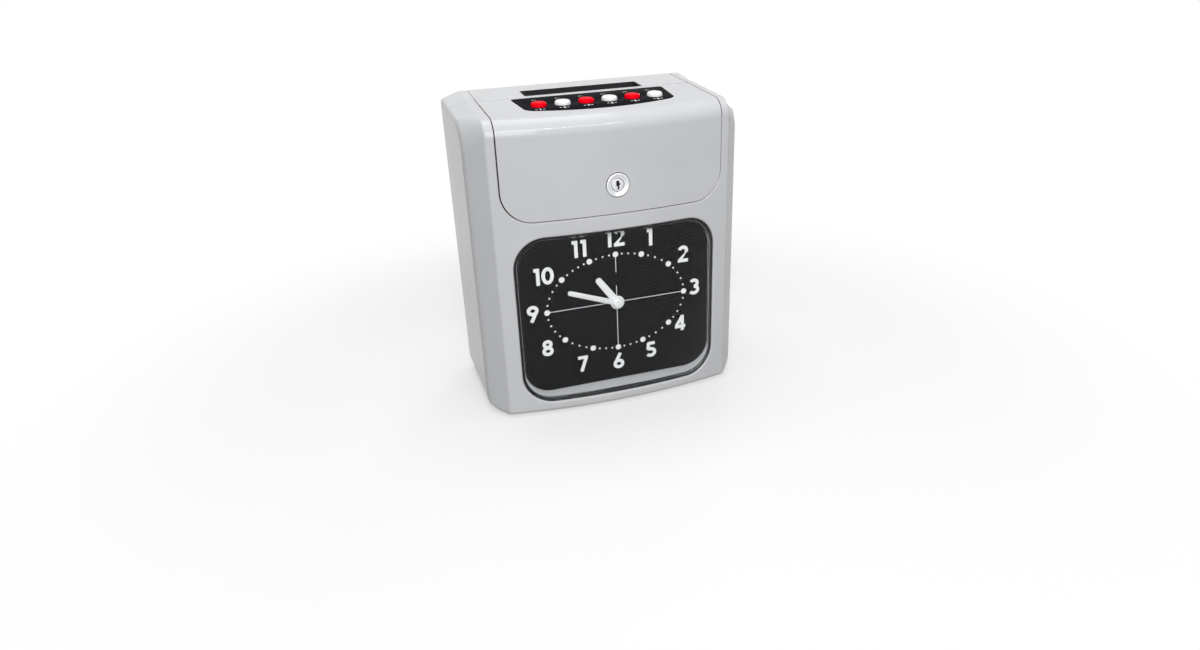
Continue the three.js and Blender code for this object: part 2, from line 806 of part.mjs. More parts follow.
// The quartz movement's case, open at its arbor holes.
function movementCase() {
  const half = movementSize / 2;
  const front = movementFront + fit;
  const rear = movementFront + movementDepth;
  const body = slabY(roundedRect(-half, half, dialCentre - half, dialCentre + half, 4), front, rear, 2);
  const inner = half - movementWall;
  const hollow = block(
    -inner, inner, front + movementWall - fit, rear - movementWall, dialCentre - inner, dialCentre + inner);
  const nose = rod('y', pipeRadius + fit + 1, movementFront - dialThickness / 2, front + 0.1, 0, dialCentre, 16);
  const pipeHole = rod('y', pipeRadius + fit, -far, front + movementWall + 1, 0, dialCentre, 16);
  const knobHole = rod('y', arborRadius + fit, front + movementWall + 1, far, motionCentreX, dialCentre, 12);
  return cut(join(body, nose), hollow, pipeHole, knobHole);
}

// Lid pieces that lie in the sloping top are drawn level, with Y along the slope, and then tilted.
function tilted(body) {
  return body.rotate([THREE.MathUtils.radToDeg(slopeAngle), 0, 0]).translate([0, 0, topAt(0)]);
}

function panelOutline(margin) {
  const rearHalf = panelWidth / 2 + margin;
  const frontHalf = rearHalf - panelTaper;
  const corner = panelCorner + margin;
  const rear = panelRear + margin;
  const sideFront = panelSideFront - margin;
  const middle = 2 * (panelFront - margin) - sideFront;
  const shape = new THREE.Shape();
  shape.moveTo(rearHalf - corner / 2, rear);
  shape.lineTo(-rearHalf + corner / 2, rear);
  shape.quadraticCurveTo(-rearHalf, rear, -rearHalf, rear - corner / 2);
  shape.lineTo(-frontHalf, sideFront + corner);
  shape.quadraticCurveTo(-frontHalf, sideFront, -frontHalf + corner, sideFront - corner * 0.45);
  shape.quadraticCurveTo(0, middle + corner * 0.45, frontHalf - corner, sideFront - corner * 0.45);
  shape.quadraticCurveTo(frontHalf, sideFront, frontHalf, sideFront + corner);
  shape.lineTo(rearHalf, rear - corner / 2);
  shape.quadraticCurveTo(rearHalf, rear, rearHalf - corner / 2, rear);
  return shape;
}

function keyX(k) {
  return (k - (keyCount - 1) / 2) * keyPitch;
}

function keyHoles() {
  return Array.from({ length: keyCount }, (_, k) =>
    rod('z', keyRadius + runningFit, -wall - 1, 1, keyX(k), keyRowFromFront));
}

function keyBoardPosts() {
  const x = keyBoardWidth / 2 - postRadius - 1;
  const y = keyBoardDepth / 2 - postRadius - 1;
  return [[-x, -y], [x, -y], [x, y], [-x, y]].map(([px, py]) => [px, keyRowFromFront + py]);
}

// The lid: the front and top in one shell, with its hinge barrel and the posts for the key board.
function frontLid() {
  const skin = shell.intersect(lidSpace(0));
  const barrel = rod('x', barrelRadius, -lidHalf, lidHalf, hingeFromFront, hingeHeight, 16);
  const posts = keyBoardPosts().map(([x, y]) => rod('z', postRadius, -keyBoardDrop, -wall / 2, x, y, 12));
  const lowered = tilted(join(...posts));
  const pocket = tilted(join(
    slabZ(panelOutline(fit), -panelThickness + panelProud - fit, 2, 6), ...keyHoles()));
  const pinBores = [-1, 1].map((side) => {
    const ends = [side * (lidHalf - pinEngagement - fit), side * (lidHalf + 1)].sort((a, b) => a - b);
    return rod('x', pinRadius + fit, ends[0], ends[1], hingeFromFront, hingeHeight, 12);
  });
  const lockHole = rod('y', lockBarrelRadius + fit, -far, lockBarrelLength, 0, lockHeight);
  const lockSeat = rod('y', lockFlangeRadius + fit, -far, lockFlangeThickness - lockProud + fit, 0, lockHeight);
  return cut(join(skin, barrel, lowered), pocket, ...pinBores, lockHole, lockSeat);
}

function buttonPanel() {
  const plate = slabZ(panelOutline(0), panelProud - panelThickness, panelProud, 6);
  return tilted(cut(plate, ...keyHoles()));
}

// The key board under the lid, with a switch under each key.
function keypadBoard() {
  const top = -keyBoardDrop - fit;
  const board = block(
    -keyBoardWidth / 2, keyBoardWidth / 2, keyRowFromFront - keyBoardDepth / 2, keyRowFromFront + keyBoardDepth / 2,
    top - boardThickness, top);
  const switches = Array.from({ length: keyCount }, (_, k) => block(
    keyX(k) - switchSize / 2, keyX(k) + switchSize / 2,
    keyRowFromFront - switchSize / 2, keyRowFromFront + switchSize / 2, top - 0.1, top + switchHeight));
  return tilted(join(board, ...switches));
}

// One key: a round cap, the flange that keeps it under the lid, and the stem that works its switch.
function keyCap(k) {
  const edge = 0.8;
  const flangeTop = -wall - fit;
  const stemEnd = -keyBoardDrop - fit + switchHeight + keyTravel + fit;
  const flangeBottom = Math.max(flangeTop - keyFlangeHeight, stemEnd + 0.1);
  const profile = [
    [0, stemEnd], [stemRadius, stemEnd], [stemRadius, flangeBottom], [keyRadius + keyFlange, flangeBottom],
    [keyRadius + keyFlange, flangeTop], [keyRadius, flangeTop], [keyRadius, panelProud + keyHeight - edge],
    [keyRadius - edge, panelProud + keyHeight], [0, panelProud + keyHeight],
  ];
  return tilted(turned(profile, 20).translate([keyX(k), keyRowFromFront, 0]));
}

// The lock's body: a stepped flange in the lid and a barrel through it.
function lockBody() {
  const front = -lockProud;
  const flange = rod('y', lockFlangeRadius, front, front + lockFlangeThickness, 0, lockHeight);
  const barrel = rod('y', lockBarrelRadius, front + 1, front + lockBarrelLength, 0, lockHeight);
  const dish = rod('y', lockBarrelRadius - lockDishWidth, -far, front + lockDishDepth, 0, lockHeight);
  const bore = rod('y', plugRadius + fit, -far, far, 0, lockHeight);
  return cut(join(flange, barrel), dish, bore);
}

function lockPlug() {
  const front = -lockProud + plugRecess;
  const rear = -lockProud + lockBarrelLength + fit;
  const plug = rod('y', plugRadius, front, rear, 0, lockHeight);
  const keyhole = block(
    -keyholeWidth / 2, keyholeWidth / 2, -far, front + keyholeDepth,
    lockHeight - keyholeHeight / 2, lockHeight + keyholeHeight / 2);
  return cut(plug, keyhole);
}

function lockNut() {
  const ring = rod('y', nutRadius, wall + fit, wall + fit + nutThickness, 0, lockHeight, 6);
  return cut(ring, rod('y', lockBarrelRadius + fit, -far, far, 0, lockHeight));
}

const camFront = -lockProud + lockBarrelLength + fit;

// The cam on the back of the plug, lying sideways while the lid is free to open.
function lockCam() {
  const half = camWidth / 2;
  const shape = new THREE.Shape();
  shape.moveTo(0, half);
  shape.absarc(0, 0, half, Math.PI / 2, Math.PI * 1.5);
  shape.lineTo(camLength, -half);
  shape.lineTo(camLength, half);
  return slabY(shape, camFront, camFront + camThickness, 8).translate([0, 0, lockHeight]);
}

// The steel keeper that the cam swings behind, on the frame under the lid.
function keeperPlate() {
  const half = keeperWidth / 2;
  const shelf = windowTop + bezelFlange + 1;
  const front = wall + frontAt(half) + fit;
  const rear = camFront - fit;
  const flange = block(-half, half, front, front + keeperThickness, shelf, lidBottom - 1);
  const plate = block(-half, half, front, rear, shelf, shelf + keeperThickness);
  const tab = block(-half, half, rear - keeperThickness, rear, shelf, lidBottom + keeperReach);
  return join(flange, plate, tab);
}

// The sheet-metal frame that carries the printing and feeding gear.
function mechFrame() {
  const sides = [-1, 1].map((side) => {
    const ends = [side * frameHalfWidth, side * frameOuter].sort((a, b) => a - b);
    return block(ends[0], ends[1], frameFront, frameRear, frameFloor, frameTop);
  });
  const base = block(-frameOuter, frameOuter, frameFront, frameRear, frameFloor, frameFloor + frameThickness);
  const tabs = [-1, 1].map((side) => {
    const ends = [side * (frameHalfWidth - cassetteTabWidth), side * (frameHalfWidth + 0.1)].sort((a, b) => a - b);
    return block(
      ends[0], ends[1], frameFront, cassetteFront + cassetteDepth - 2,
      cassetteBottom - fit - frameThickness, cassetteBottom - fit);
  });
  const holes = [
    rod('x', shaftRadius + fit, -far, far, feedCentreY, feedHeight, 12),
    rod('x', shaftRadius + fit, -far, far, pinchCentreY, feedHeight, 12),
    rod('x', rodRadius + fit, -far, far, rodFromFront, printHeight, 12),
    rod('x', rodRadius + fit, -far, far, screwFromFront, printHeight, 12),
    rod('x', shaftRadius + fit, 0, far, pinionY, pinionZ, 12),
  ];
  return cut(join(...sides, base, ...tabs), ...holes);
}

const nip = chuteCentre;
const feedCentreY = nip - nipGap / 2 - feedRollerRadius;
const pinchCentreY = nip + nipGap / 2 + pinchRollerRadius;
const gearDistance = feedModule * (feedGearTeeth + feedPinionTeeth) / 2 + 0.15 * feedModule;
const motorTurn = THREE.MathUtils.degToRad(motorAngle);
const pinionY = feedCentreY + gearDistance * Math.cos(motorTurn);
const pinionZ = feedHeight + gearDistance * Math.sin(motorTurn);
const gearLeft = frameOuter + 1;

function feedShaft() {
  return rod('x', shaftRadius, -frameHalfWidth - 4, gearLeft + gearWidth + 1, feedCentreY, feedHeight, 16);
}

// A rubber sleeve on a shaft.
function roller(radius, width, y) {
  const sleeve = rod('x', radius, -width / 2, width / 2, y, feedHeight);
  return cut(sleeve, rod('x', shaftRadius + fit, -far, far, y, feedHeight, 16));
}

// The pinch roller, whose shaft and sleeve are moulded as one.
function pinchRoller() {
  const half = feedRollerWidth / 2;
  const shaft = rod('x', shaftRadius, -frameOuter, frameOuter, pinchCentreY, feedHeight, 16);
  return join(shaft, rod('x', pinchRollerRadius, -half, half, pinchCentreY, feedHeight));
}

// A spur wheel on a shaft that lies along X.
function sideWheel(teeth, left, phase, turn, y, z) {
  const body = wheel(teeth, feedModule, -left - gearWidth, -left, phase);
  const degrees = THREE.MathUtils.radToDeg(turn);
  return body.rotate([0, 0, 90]).rotate([degrees, 0, 0]).translate([0, y, z]);
}

function feedGear() {
  const body = sideWheel(feedGearTeeth, gearLeft, 0, motorTurn - Math.PI / 2, feedCentreY, feedHeight);
  return cut(body, rod('x', shaftRadius + fit, -far, far, feedCentreY, feedHeight, 16));
}

function feedPinion() {
  const body = sideWheel(feedPinionTeeth, gearLeft, 0.5, motorTurn + Math.PI / 2, pinionY, pinionZ);
  const shaft = rod('x', shaftRadius, frameHalfWidth - 6, gearLeft + 0.5, pinionY, pinionZ, 16);
  return join(body, shaft);
}

// A can motor with a boss on its face, standing on the right-hand side plate.
function feedMotor() {
  const right = frameHalfWidth - fit;
  const can = rod('x', motorRadius, right - motorLength, right, pinionY, pinionZ);
  return cut(can, rod('x', shaftRadius + fit, frameHalfWidth - 6 - fit, far, pinionY, pinionZ, 16));
}

function guideRod() {
  return rod('x', rodRadius, -frameOuter, frameOuter, rodFromFront, printHeight, 16);
}

// The lead screw, with its turned collars against both side plates.
function leadScrew() {
  const collar = rodRadius + 1.6;
  const end = frameHalfWidth - runningFit;
  const shaft = rod('x', rodRadius, -frameHalfWidth - 3, frameHalfWidth + screwIntoMotor, screwFromFront, printHeight, 16);
  const left = rod('x', collar, -end, -end + 3, screwFromFront, printHeight, 16);
  const right = rod('x', collar, end - 3, end, screwFromFront, printHeight, 16);
  return join(shaft, left, right);
}

function carriageMotor() {
  const left = frameOuter + fit;
  const can = rod('x', motorRadius - 2, left, left + motorLength - 4, screwFromFront, printHeight);
  return cut(can, rod('x', rodRadius + fit, 0, frameHalfWidth + screwIntoMotor + fit, screwFromFront, printHeight, 16));
}

// The carriage that runs on the rod and the screw.
function printCarriage() {
  const half = carriageWidth / 2;
  const front = screwFromFront - rodRadius - 4;
  const rear = rodFromFront + rodRadius + 3.5;
  const body = block(-half, half, front, rear, printHeight - carriageHeight / 2, printHeight + carriageHeight / 2);
  return cut(
    body,
    rod('x', rodRadius + fit, -far, far, rodFromFront, printHeight, 16),
    rod('x', rodRadius + fit, -far, far, screwFromFront, printHeight, 16));
}

// The needle head, finned behind and narrow at its nose.
function printHead() {
  const half = headWidth / 2;
  const start = rodFromFront + rodRadius + 3.5 + fit;
  const noseEnd = chuteFrontFace - chuteThickness / 2;
  const finTip = Math.min(start + 5, noseEnd - 3);
  const low = printHeight - headHeight / 2;
  const body = block(-half, half, start, finTip, low, low + headHeight);
  const nose = block(-half / 2, half / 2, finTip - 0.1, noseEnd, low + 2, low + headHeight - 2);
  return join(body, nose);
}

// The ribbon cassette, with the two arms that hold the ribbon in front of the card.
function ribbonCassette() {
  const half = frameHalfWidth - fit;
  const rear = cassetteFront + cassetteDepth;
  const body = slabZ(
    roundedRect(-half, half, cassetteFront, rear, 4), cassetteBottom, cassetteBottom + cassetteHeight, 2);
  const arms = [-1, 1].map((side) => {
    const ends = [side * (half - cassetteArm), side * half].sort((a, b) => a - b);
    return block(
      ends[0], ends[1], rear - 4, chuteFrontFace - chuteThickness - 1,
      cassetteBottom, cassetteBottom + cassetteHeight);
  });
  const socket = rod('z', 2 + fit, cassetteBottom + cassetteHeight - 4, far, knobX, knobY, 12);
  return cut(join(body, ...arms), socket);
}

const knobX = -frameHalfWidth / 2;
const knobY = cassetteFront + cassetteDepth / 2;

function ribbonKnob() {
  const base = cassetteBottom + cassetteHeight;
  const profile = [
    [0, base - 3.5], [2, base - 3.5], [2, base + fit], [ribbonKnobRadius, base + fit],
    [ribbonKnobRadius, base + ribbonKnobHeight - 0.6], [ribbonKnobRadius - 0.6, base + ribbonKnobHeight],
    [0, base + ribbonKnobHeight],
  ];
  return turned(profile, 18).translate([knobX, knobY, 0]);
}

function boardPosts() {
  const x = boardWidth / 2 - boardEdge;
  return [boardBottom + boardEdge, boardTop - boardEdge].flatMap((z) => [[-x, z], [x, z]]);
}

// The main board on the rear wall, with its larger parts.
function mainBoard() {
  const front = boardRear - boardThickness;
  const board = block(-boardWidth / 2, boardWidth / 2, front, boardRear, boardBottom, boardTop);
  const sunk = front + 0.1;
  const chip = block(
    -chipSize / 2, chipSize / 2, front - chipHeight, sunk, boardTop - chipFromTop - chipSize, boardTop - chipFromTop);
  const plugLeft = -boardWidth / 2 + 2 * boardEdge;
  const plug = block(
    plugLeft, plugLeft + plugLength, front - partProud, sunk, boardBottom + plugHeight, boardBottom + 2 * plugHeight);
  const capacitor = rod(
    'y', capacitorRadius, front - partProud, sunk,
    boardWidth / 2 - 5 * capacitorRadius, boardBottom + 5 * capacitorRadius, 12);
  return join(board, chip, plug, capacitor);
}

// The transformer: a laminated core with the winding round its middle.
function transformer() {
  const x = -frameHalfWidth + 6;
  const y = frameRear - 4 - transformerDepth;
  const z = frameFloor + frameThickness;
  const core = block(
    x, x + transformerWidth, y + coreInset, y + transformerDepth - coreInset, z, z + transformerHeight);
  const winding = block(
    x + windingInset, x + transformerWidth - windingInset, y, y + transformerDepth,
    z + windingInset, z + transformerHeight - windingInset);
  return join(core, winding);
}

// The back-up battery in its sleeve.
function backupBattery() {
  const x = frameHalfWidth - 6;
  const y = frameRear - 4;
  const z = frameFloor + frameThickness;
  const shape = roundedRect(x - batteryWidth, x, z, z + batteryHeight, 4);
  return slabY(shape, y - batteryDepth, y, 3);
}

function foot(x, y) {
  const profile = [[0, 0], [footRadius - 1, 0], [footRadius, 1], [footRadius, footHeight], [0, footHeight]];
  return turned(profile, 20).translate([x, y, 0]);
}

function caseScrew(x, z) {
  const headFront = caseDepth - counterbore;
  const shank = rod('y', screwRadius, seam - bossLength + wall + 3, headFront + 0.5, x, z, 12);
  const head = rod('y', screwHeadRadius, headFront + fit, headFront + fit + screwHeadHeight, x, z, 16);
  const drive = block(
    x - screwDriveWidth / 2, x + screwDriveWidth / 2, headFront + fit + screwHeadHeight - screwDriveDepth, far,
    z - screwDriveLength / 2, z + screwDriveLength / 2);
  return cut(join(shank, head), drive);
}

function hingePin(side) {
  const ends = [side * (lidHalf - pinEngagement), side * (lidHalf + seamGap + lugWidth)].sort((a, b) => a - b);
  return rod('x', pinRadius, ends[0], ends[1], hingeFromFront, hingeHeight, 12);
}

// Finishes
function finish(color, roughness, metalness = 0, opacity = 1) {
  return new THREE.MeshStandardMaterial({ color, roughness, metalness, opacity, transparent: opacity < 1 });
}

const shellPlastic = finish(0xd8d9dc, 0.3);
const blackPlastic = finish(0x1e1e21, 0.4);
const greyPlastic = finish(0x55585c, 0.5);
const keyRed = finish(0xe60a1c, 0.3);
const keyWhite = finish(0xf0f0f0, 0.3);
const clearPlastic = finish(0xe8eef2, 0.05, 0, 0.3);
const dialBlack = finish(0x111114, 0.5);
const handWhite = finish(0xeaeaec, 0.45);
const steel = finish(0xb4b6ba, 0.35, 1);
const zinc = finish(0xc9cbce, 0.3, 1);
const brass = finish(0xc9a650, 0.35, 1);
const rubber = finish(0x2a2a2b, 0.85);
const circuitGreen = finish(0x1d5a37, 0.5);
const copper = finish(0x9a5a32, 0.5, 0.4);
const sleeveBlue = finish(0x2b4f8c, 0.5);

const group = new THREE.Group();

function add(name, body, material) {
  const mesh = new THREE.Mesh(geometryOf(body), material);
  mesh.name = name;
  group.add(mesh);
}

add('front_housing', frontHousing(), shellPlastic);
add('rear_case', rearCase(), shellPlastic);
add('rear_deck', rearDeck(), shellPlastic);
add('front_lid', frontLid(), shellPlastic);
add('hinge_pin_left', hingePin(-1), steel);
add('hinge_pin_right', hingePin(1), steel);
add('button_panel', buttonPanel(), blackPlastic);
add('keypad_board', keypadBoard(), circuitGreen);
for (let k = 0; k < keyCount; k += 1) {
  add(`button_${k + 1}`, keyCap(k), k % 2 === 0 ? keyRed : keyWhite);
}
add('lock_body', lockBody(), zinc);
add('lock_plug', lockPlug(), zinc);
add('lock_nut', lockNut(), steel);
add('lock_cam', lockCam(), steel);
add('keeper_plate', keeperPlate(), steel);
add('window_lens', windowLens(), clearPlastic);
add('dial_bezel', dialBezel(), shellPlastic);
add('dial_plate', dialPlate(), dialBlack);
add('hour_hand', hourHand(), handWhite);
add('minute_hand', minuteHand(), handWhite);
add('hand_cap', handCap(), handWhite);
add('minute_arbor', minuteArbor(), brass);
add('hour_pipe', hourPipe(), brass);
add('motion_wheel', motionWheel(), brass);
add('set_knob', setKnob(), greyPlastic);
add('movement_case', movementCase(), blackPlastic);
add('card_throat', cardThroat(), blackPlastic);
add('chute_front', chuteFront(), blackPlastic);
add('chute_rear', chuteRear(), blackPlastic);
add('platen_bar', platenBar(), rubber);
add('mech_frame', mechFrame(), steel);
add('feed_shaft', feedShaft(), steel);
add('feed_roller', roller(feedRollerRadius, feedRollerWidth, feedCentreY), rubber);
add('feed_gear', feedGear(), greyPlastic);
add('feed_pinion', feedPinion(), brass);
add('feed_motor', feedMotor(), zinc);
add('pinch_roller', pinchRoller(), greyPlastic);
add('guide_rod', guideRod(), steel);
add('lead_screw', leadScrew(), steel);
add('carriage_motor', carriageMotor(), zinc);
add('print_carriage', printCarriage(), greyPlastic);
add('print_head', printHead(), blackPlastic);
add('ribbon_cassette', ribbonCassette(), blackPlastic);
add('ribbon_knob', ribbonKnob(), greyPlastic);
add('main_board', mainBoard(), circuitGreen);
add('transformer', transformer(), copper);
add('backup_battery', backupBattery(), sleeveBlue);
add('power_inlet', powerInlet(), blackPlastic);
const footX = halfWidth - footInsetX;
add('foot_front_left', foot(-footX, footInsetFront), rubber);
add('foot_front_right', foot(footX, footInsetFront), rubber);
add('foot_rear_left', foot(-footX, caseDepth - footInsetRear), rubber);
add('foot_rear_right', foot(footX, caseDepth - footInsetRear), rubber);
for (const [name, x, z] of screwPlaces()) {
  add(`case_screw_${name}`, caseScrew(x, z), steel);
}

// The origin moves to the middle of the case's depth.
group.position.y = -caseDepth / 2;

export default group;
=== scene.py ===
"""The looks of a desk time clock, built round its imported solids.

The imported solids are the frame: each piece made here sits where they are and rides on their bodies.
Sizes are millimetres, with the case's middle at X 0 and Y 0 and the table at Z 0, unless said otherwise.
"""

import json
import logging
from contextlib import contextmanager
from dataclasses import dataclass
from enum import Enum
from math import asin, atan, atan2, copysign, cos, dist, hypot, pi, radians, sin, sqrt, tan
from typing import Callable, Iterator, Sequence

import bmesh
import bpy
from mathutils import Matrix, Vector


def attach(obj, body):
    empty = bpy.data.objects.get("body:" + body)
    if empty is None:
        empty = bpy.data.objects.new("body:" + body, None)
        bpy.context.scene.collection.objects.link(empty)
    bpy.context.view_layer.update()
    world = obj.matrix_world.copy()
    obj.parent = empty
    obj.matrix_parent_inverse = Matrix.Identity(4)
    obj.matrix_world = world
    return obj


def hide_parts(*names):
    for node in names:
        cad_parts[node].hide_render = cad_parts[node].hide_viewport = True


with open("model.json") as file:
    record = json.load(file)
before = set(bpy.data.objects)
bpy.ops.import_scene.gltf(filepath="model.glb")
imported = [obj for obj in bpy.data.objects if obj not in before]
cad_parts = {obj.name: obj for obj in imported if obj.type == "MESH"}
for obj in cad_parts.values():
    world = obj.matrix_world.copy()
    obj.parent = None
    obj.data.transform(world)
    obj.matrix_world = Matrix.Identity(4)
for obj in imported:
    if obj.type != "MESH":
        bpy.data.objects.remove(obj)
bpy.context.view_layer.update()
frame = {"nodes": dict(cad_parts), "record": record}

log = logging.getLogger("time_clock")

MM = 0.001
Point = Sequence[float]
Pair = tuple[float, float]
Piece = bpy.types.Object

# Points that are closer than this many metres are one point: spun ones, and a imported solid's.
TOUCHING = 1e-7
LOOSE = 2e-6
# The widest crack that is closed, in metres, and the most edges that one has.
CRACK = 0.02 * MM
CRACK_EDGES = 12
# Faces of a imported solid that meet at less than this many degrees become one.
FLAT = 1
# Broad faces are shaded flat up to edges sharper than this many degrees, with this weight.
BROAD_ANGLE = 32
BROAD_WEIGHT = 80

# Places that several assemblies share, in millimetres.
DIAL_CENTRE = 83
DIAL_FACE = -44.6
LOCK_HEIGHT = 177.8
SCREW_PLACES = {
    "lower_left": (-88, 32), "lower_right": (88, 32), "upper_left": (-88, 205), "upper_right": (88, 205),
}


class Cut(Enum):
    """What a carving tool does to a piece."""

    AWAY = "DIFFERENCE"
    KEEP = "INTERSECT"
    ADD = "UNION"


class Element(Enum):
    """A kind of mesh element, as edit mode selects it."""

    POINT = "VERT"
    EDGE = "EDGE"


class Axis(Enum):
    """An axis of the row's frame."""

    X = 0
    Y = 1
    Z = 2


# Small tools for modelling


def deselect() -> None:
    """Leaves edit mode and selects nothing."""
    if bpy.context.mode != "OBJECT":
        bpy.ops.object.mode_set(mode="OBJECT")
    bpy.ops.object.select_all(action="DESELECT")


def activate(piece: Piece) -> None:
    """Selects one piece alone and makes it the active one."""
    deselect()
    piece.select_set(True)
    bpy.context.view_layer.objects.active = piece


@contextmanager
def editing(piece: Piece) -> Iterator[None]:
    """Opens edit mode on a piece with nothing selected, and closes it again.

    Args:
        piece: The piece to edit.
    """
    activate(piece)
    bpy.ops.object.mode_set(mode="EDIT")
    bpy.ops.mesh.select_mode(type="VERT")
    bpy.ops.mesh.select_all(action="DESELECT")
    yield
    bpy.ops.object.mode_set(mode="OBJECT")


def select_mesh() -> None:
    """Selects everything in edit mode."""
    bpy.ops.mesh.select_all(action="SELECT")


def pick(piece: Piece, kind: Element, test: Callable) -> None:
    """Selects, in edit mode, the elements that pass a test.

    Args:
        piece: The piece in edit mode.
        kind: The kind of element.
        test: Says whether an element belongs to the selection.
    """
    bpy.ops.mesh.select_mode(type=kind.value)
    mesh = bmesh.from_edit_mesh(piece.data)
    elements = {Element.POINT: mesh.verts, Element.EDGE: mesh.edges}[kind]
    chosen = [element for element in elements if test(element)]
    for element in chosen:
        element.select_set(True)
    mesh.select_flush_mode()
    bmesh.update_edit_mesh(piece.data)


def apply_place(piece: Piece) -> Piece:
    """Moves a piece's place, turn and scale into its mesh."""
    activate(piece)
    bpy.ops.object.transform_apply(location=True, rotation=True, scale=True)
    return piece


def apply_modifier(piece: Piece, kind: str, **settings) -> Piece:
    """Adds a modifier to a piece and applies it.

    Args:
        piece: The piece.
        kind: The modifier's type.
        **settings: The modifier's own settings.

    Returns:
        The same piece.
    """
    modifier = piece.modifiers.new("shape", kind)
    for name, value in settings.items():
        setattr(modifier, name, value)
    activate(piece)
    bpy.ops.object.modifier_apply(modifier=modifier.name)
    return piece


def carve(piece: Piece, tool: Piece, how: Cut = Cut.AWAY) -> Piece:
    """Cuts, keeps or joins a piece with another one, which is used up.

    Args:
        piece: The piece that stays.
        tool: The piece that it is carved with.
        how: What the tool does.

    Returns:
        The carved piece.
    """
    apply_modifier(piece, "BOOLEAN", operation=how.value, object=tool, solver="EXACT")
    bpy.data.objects.remove(tool, do_unlink=True)
    return piece


def merge(pieces: Sequence[Piece]) -> Piece:
    """Joins pieces that don't touch into one object."""
    deselect()
    for piece in pieces:
        piece.select_set(True)
    bpy.context.view_layer.objects.active = pieces[0]
    if len(pieces) > 1:
        bpy.ops.object.join()
    return pieces[0]


def duplicate(piece: Piece) -> Piece:
    """Copies a piece with a mesh of its own."""
    copy = piece.copy()
    copy.data = piece.data.copy()
    bpy.context.collection.objects.link(copy)
    return copy


def shifted(x: float, y: float, z: float) -> Matrix:
    """Returns the matrix of a shift in millimetres."""
    return Matrix.Translation(Vector((x, y, z)) * MM)


def moved(piece: Piece, matrix: Matrix) -> Piece:
    """Carries a piece by a matrix in metres, into its mesh."""
    piece.matrix_world = matrix @ piece.matrix_world
    return apply_place(piece)


def soften(piece: Piece, width: float, segments: int = 2, angle: float = 40) -> Piece:
    """Rounds a piece's sharp edges.

    Args:
        piece: The piece.
        width: The rounding's width in millimetres.
        segments: How many strips the rounding has.
        angle: Edges sharper than this many degrees are rounded.

    Returns:
        The same piece.
    """
    return apply_modifier(
        piece, "BEVEL", width=width * MM, segments=segments, limit_method="ANGLE",
        angle_limit=radians(angle), use_clamp_overlap=True, miter_outer="MITER_ARC")


def heal(piece: Piece) -> Piece:
    """Closes the hair-fine cracks that a rounding leaves where edges crowd."""
    with editing(piece):
        select_mesh()
        bpy.ops.mesh.remove_doubles(threshold=CRACK)
        bpy.ops.mesh.delete_loose()
        select_mesh()
        bpy.ops.mesh.fill_holes(sides=CRACK_EDGES)
    return piece


def between(pair: Pair, axis: Axis, height: float) -> list[float]:
    """Returns the point at a place on one axis and at a pair of places on the other two."""
    point = list(pair)
    point.insert(axis.value, height)
    return point


def box(corner: Point, opposite: Point, rounding: float = 0.0, segments: int = 2) -> Piece:
    """Makes a block between two corners.

    Args:
        corner: One corner.
        opposite: The corner opposite to it.
        rounding: The width of its rounded edges.
        segments: How many strips each rounding has.

    Returns:
        The block.
    """
    deselect()
    centre = [(a + b) / 2 * MM for a, b in zip(corner, opposite)]
    size = [abs(b - a) * MM for a, b in zip(corner, opposite)]
    bpy.ops.mesh.primitive_cube_add(size=1, location=centre, scale=size)
    block = apply_place(bpy.context.object)
    if rounding:
        with editing(block):
            select_mesh()
            bpy.ops.mesh.bevel(offset=rounding * MM, segments=segments, affect="EDGES")
    return block


def drum(
    axis: Axis, radius: float, start: float, end: float, centre: Pair, rounding: float = 0.0, sides: int = 48,
) -> Piece:
    """Makes a round bar along an axis.

    Args:
        axis: The axis it lies along.
        radius: Its radius.
        start: One end's place on that axis.
        end: The other end's.
        centre: Its place on the other two axes, in their order.
        rounding: The width of its rounded rims.
        sides: How many sides it has.

    Returns:
        The bar.
    """
    deselect()
    place = between(centre, axis, (start + end) / 2)
    turn = {Axis.X: (0, pi / 2, 0), Axis.Y: (pi / 2, 0, 0), Axis.Z: (0, 0, 0)}[axis]
    bpy.ops.mesh.primitive_cylinder_add(
        vertices=sides, radius=radius * MM, depth=abs(end - start) * MM,
        location=[value * MM for value in place], rotation=turn)
    bar = apply_place(bpy.context.object)
    if rounding:
        with editing(bar):
            pick(bar, Element.EDGE, lambda edge: abs(
                edge.verts[0].co[axis.value] - edge.verts[1].co[axis.value]) < TOUCHING)
            bpy.ops.mesh.bevel(offset=rounding * MM, segments=3, affect="EDGES")
    return bar


def ring(points: Sequence[Point]) -> Piece:
    """Makes a closed loop of edges through points, from a circle with as many points."""
    deselect()
    bpy.ops.mesh.primitive_circle_add(vertices=len(points), radius=MM)
    loop = bpy.context.object
    for vertex, point in zip(loop.data.vertices, points):
        vertex.co = Vector(point) * MM
    return loop


def loft(rings: Sequence[Sequence[Point]]) -> Piece:
    """Bridges a row of loops with the same number of points and closes both ends.

    Args:
        rings: The loops, in order.

    Returns:
        The closed body.
    """
    count = len(rings[0])
    body = merge([ring(points) for points in rings])
    with editing(body):
        for index in range(len(rings) - 1):
            low, high = index * count, (index + 2) * count
            bpy.ops.mesh.select_all(action="DESELECT")
            pick(body, Element.POINT, lambda point: low <= point.index < high)
            bpy.ops.mesh.select_mode(type="EDGE")
            bpy.ops.mesh.bridge_edge_loops()
        for first in (0, (len(rings) - 1) * count):
            bpy.ops.mesh.select_all(action="DESELECT")
            pick(body, Element.POINT, lambda point: first <= point.index < first + count)
            bpy.ops.mesh.edge_face_add()
        select_mesh()
        bpy.ops.mesh.normals_make_consistent(inside=False)
    return body


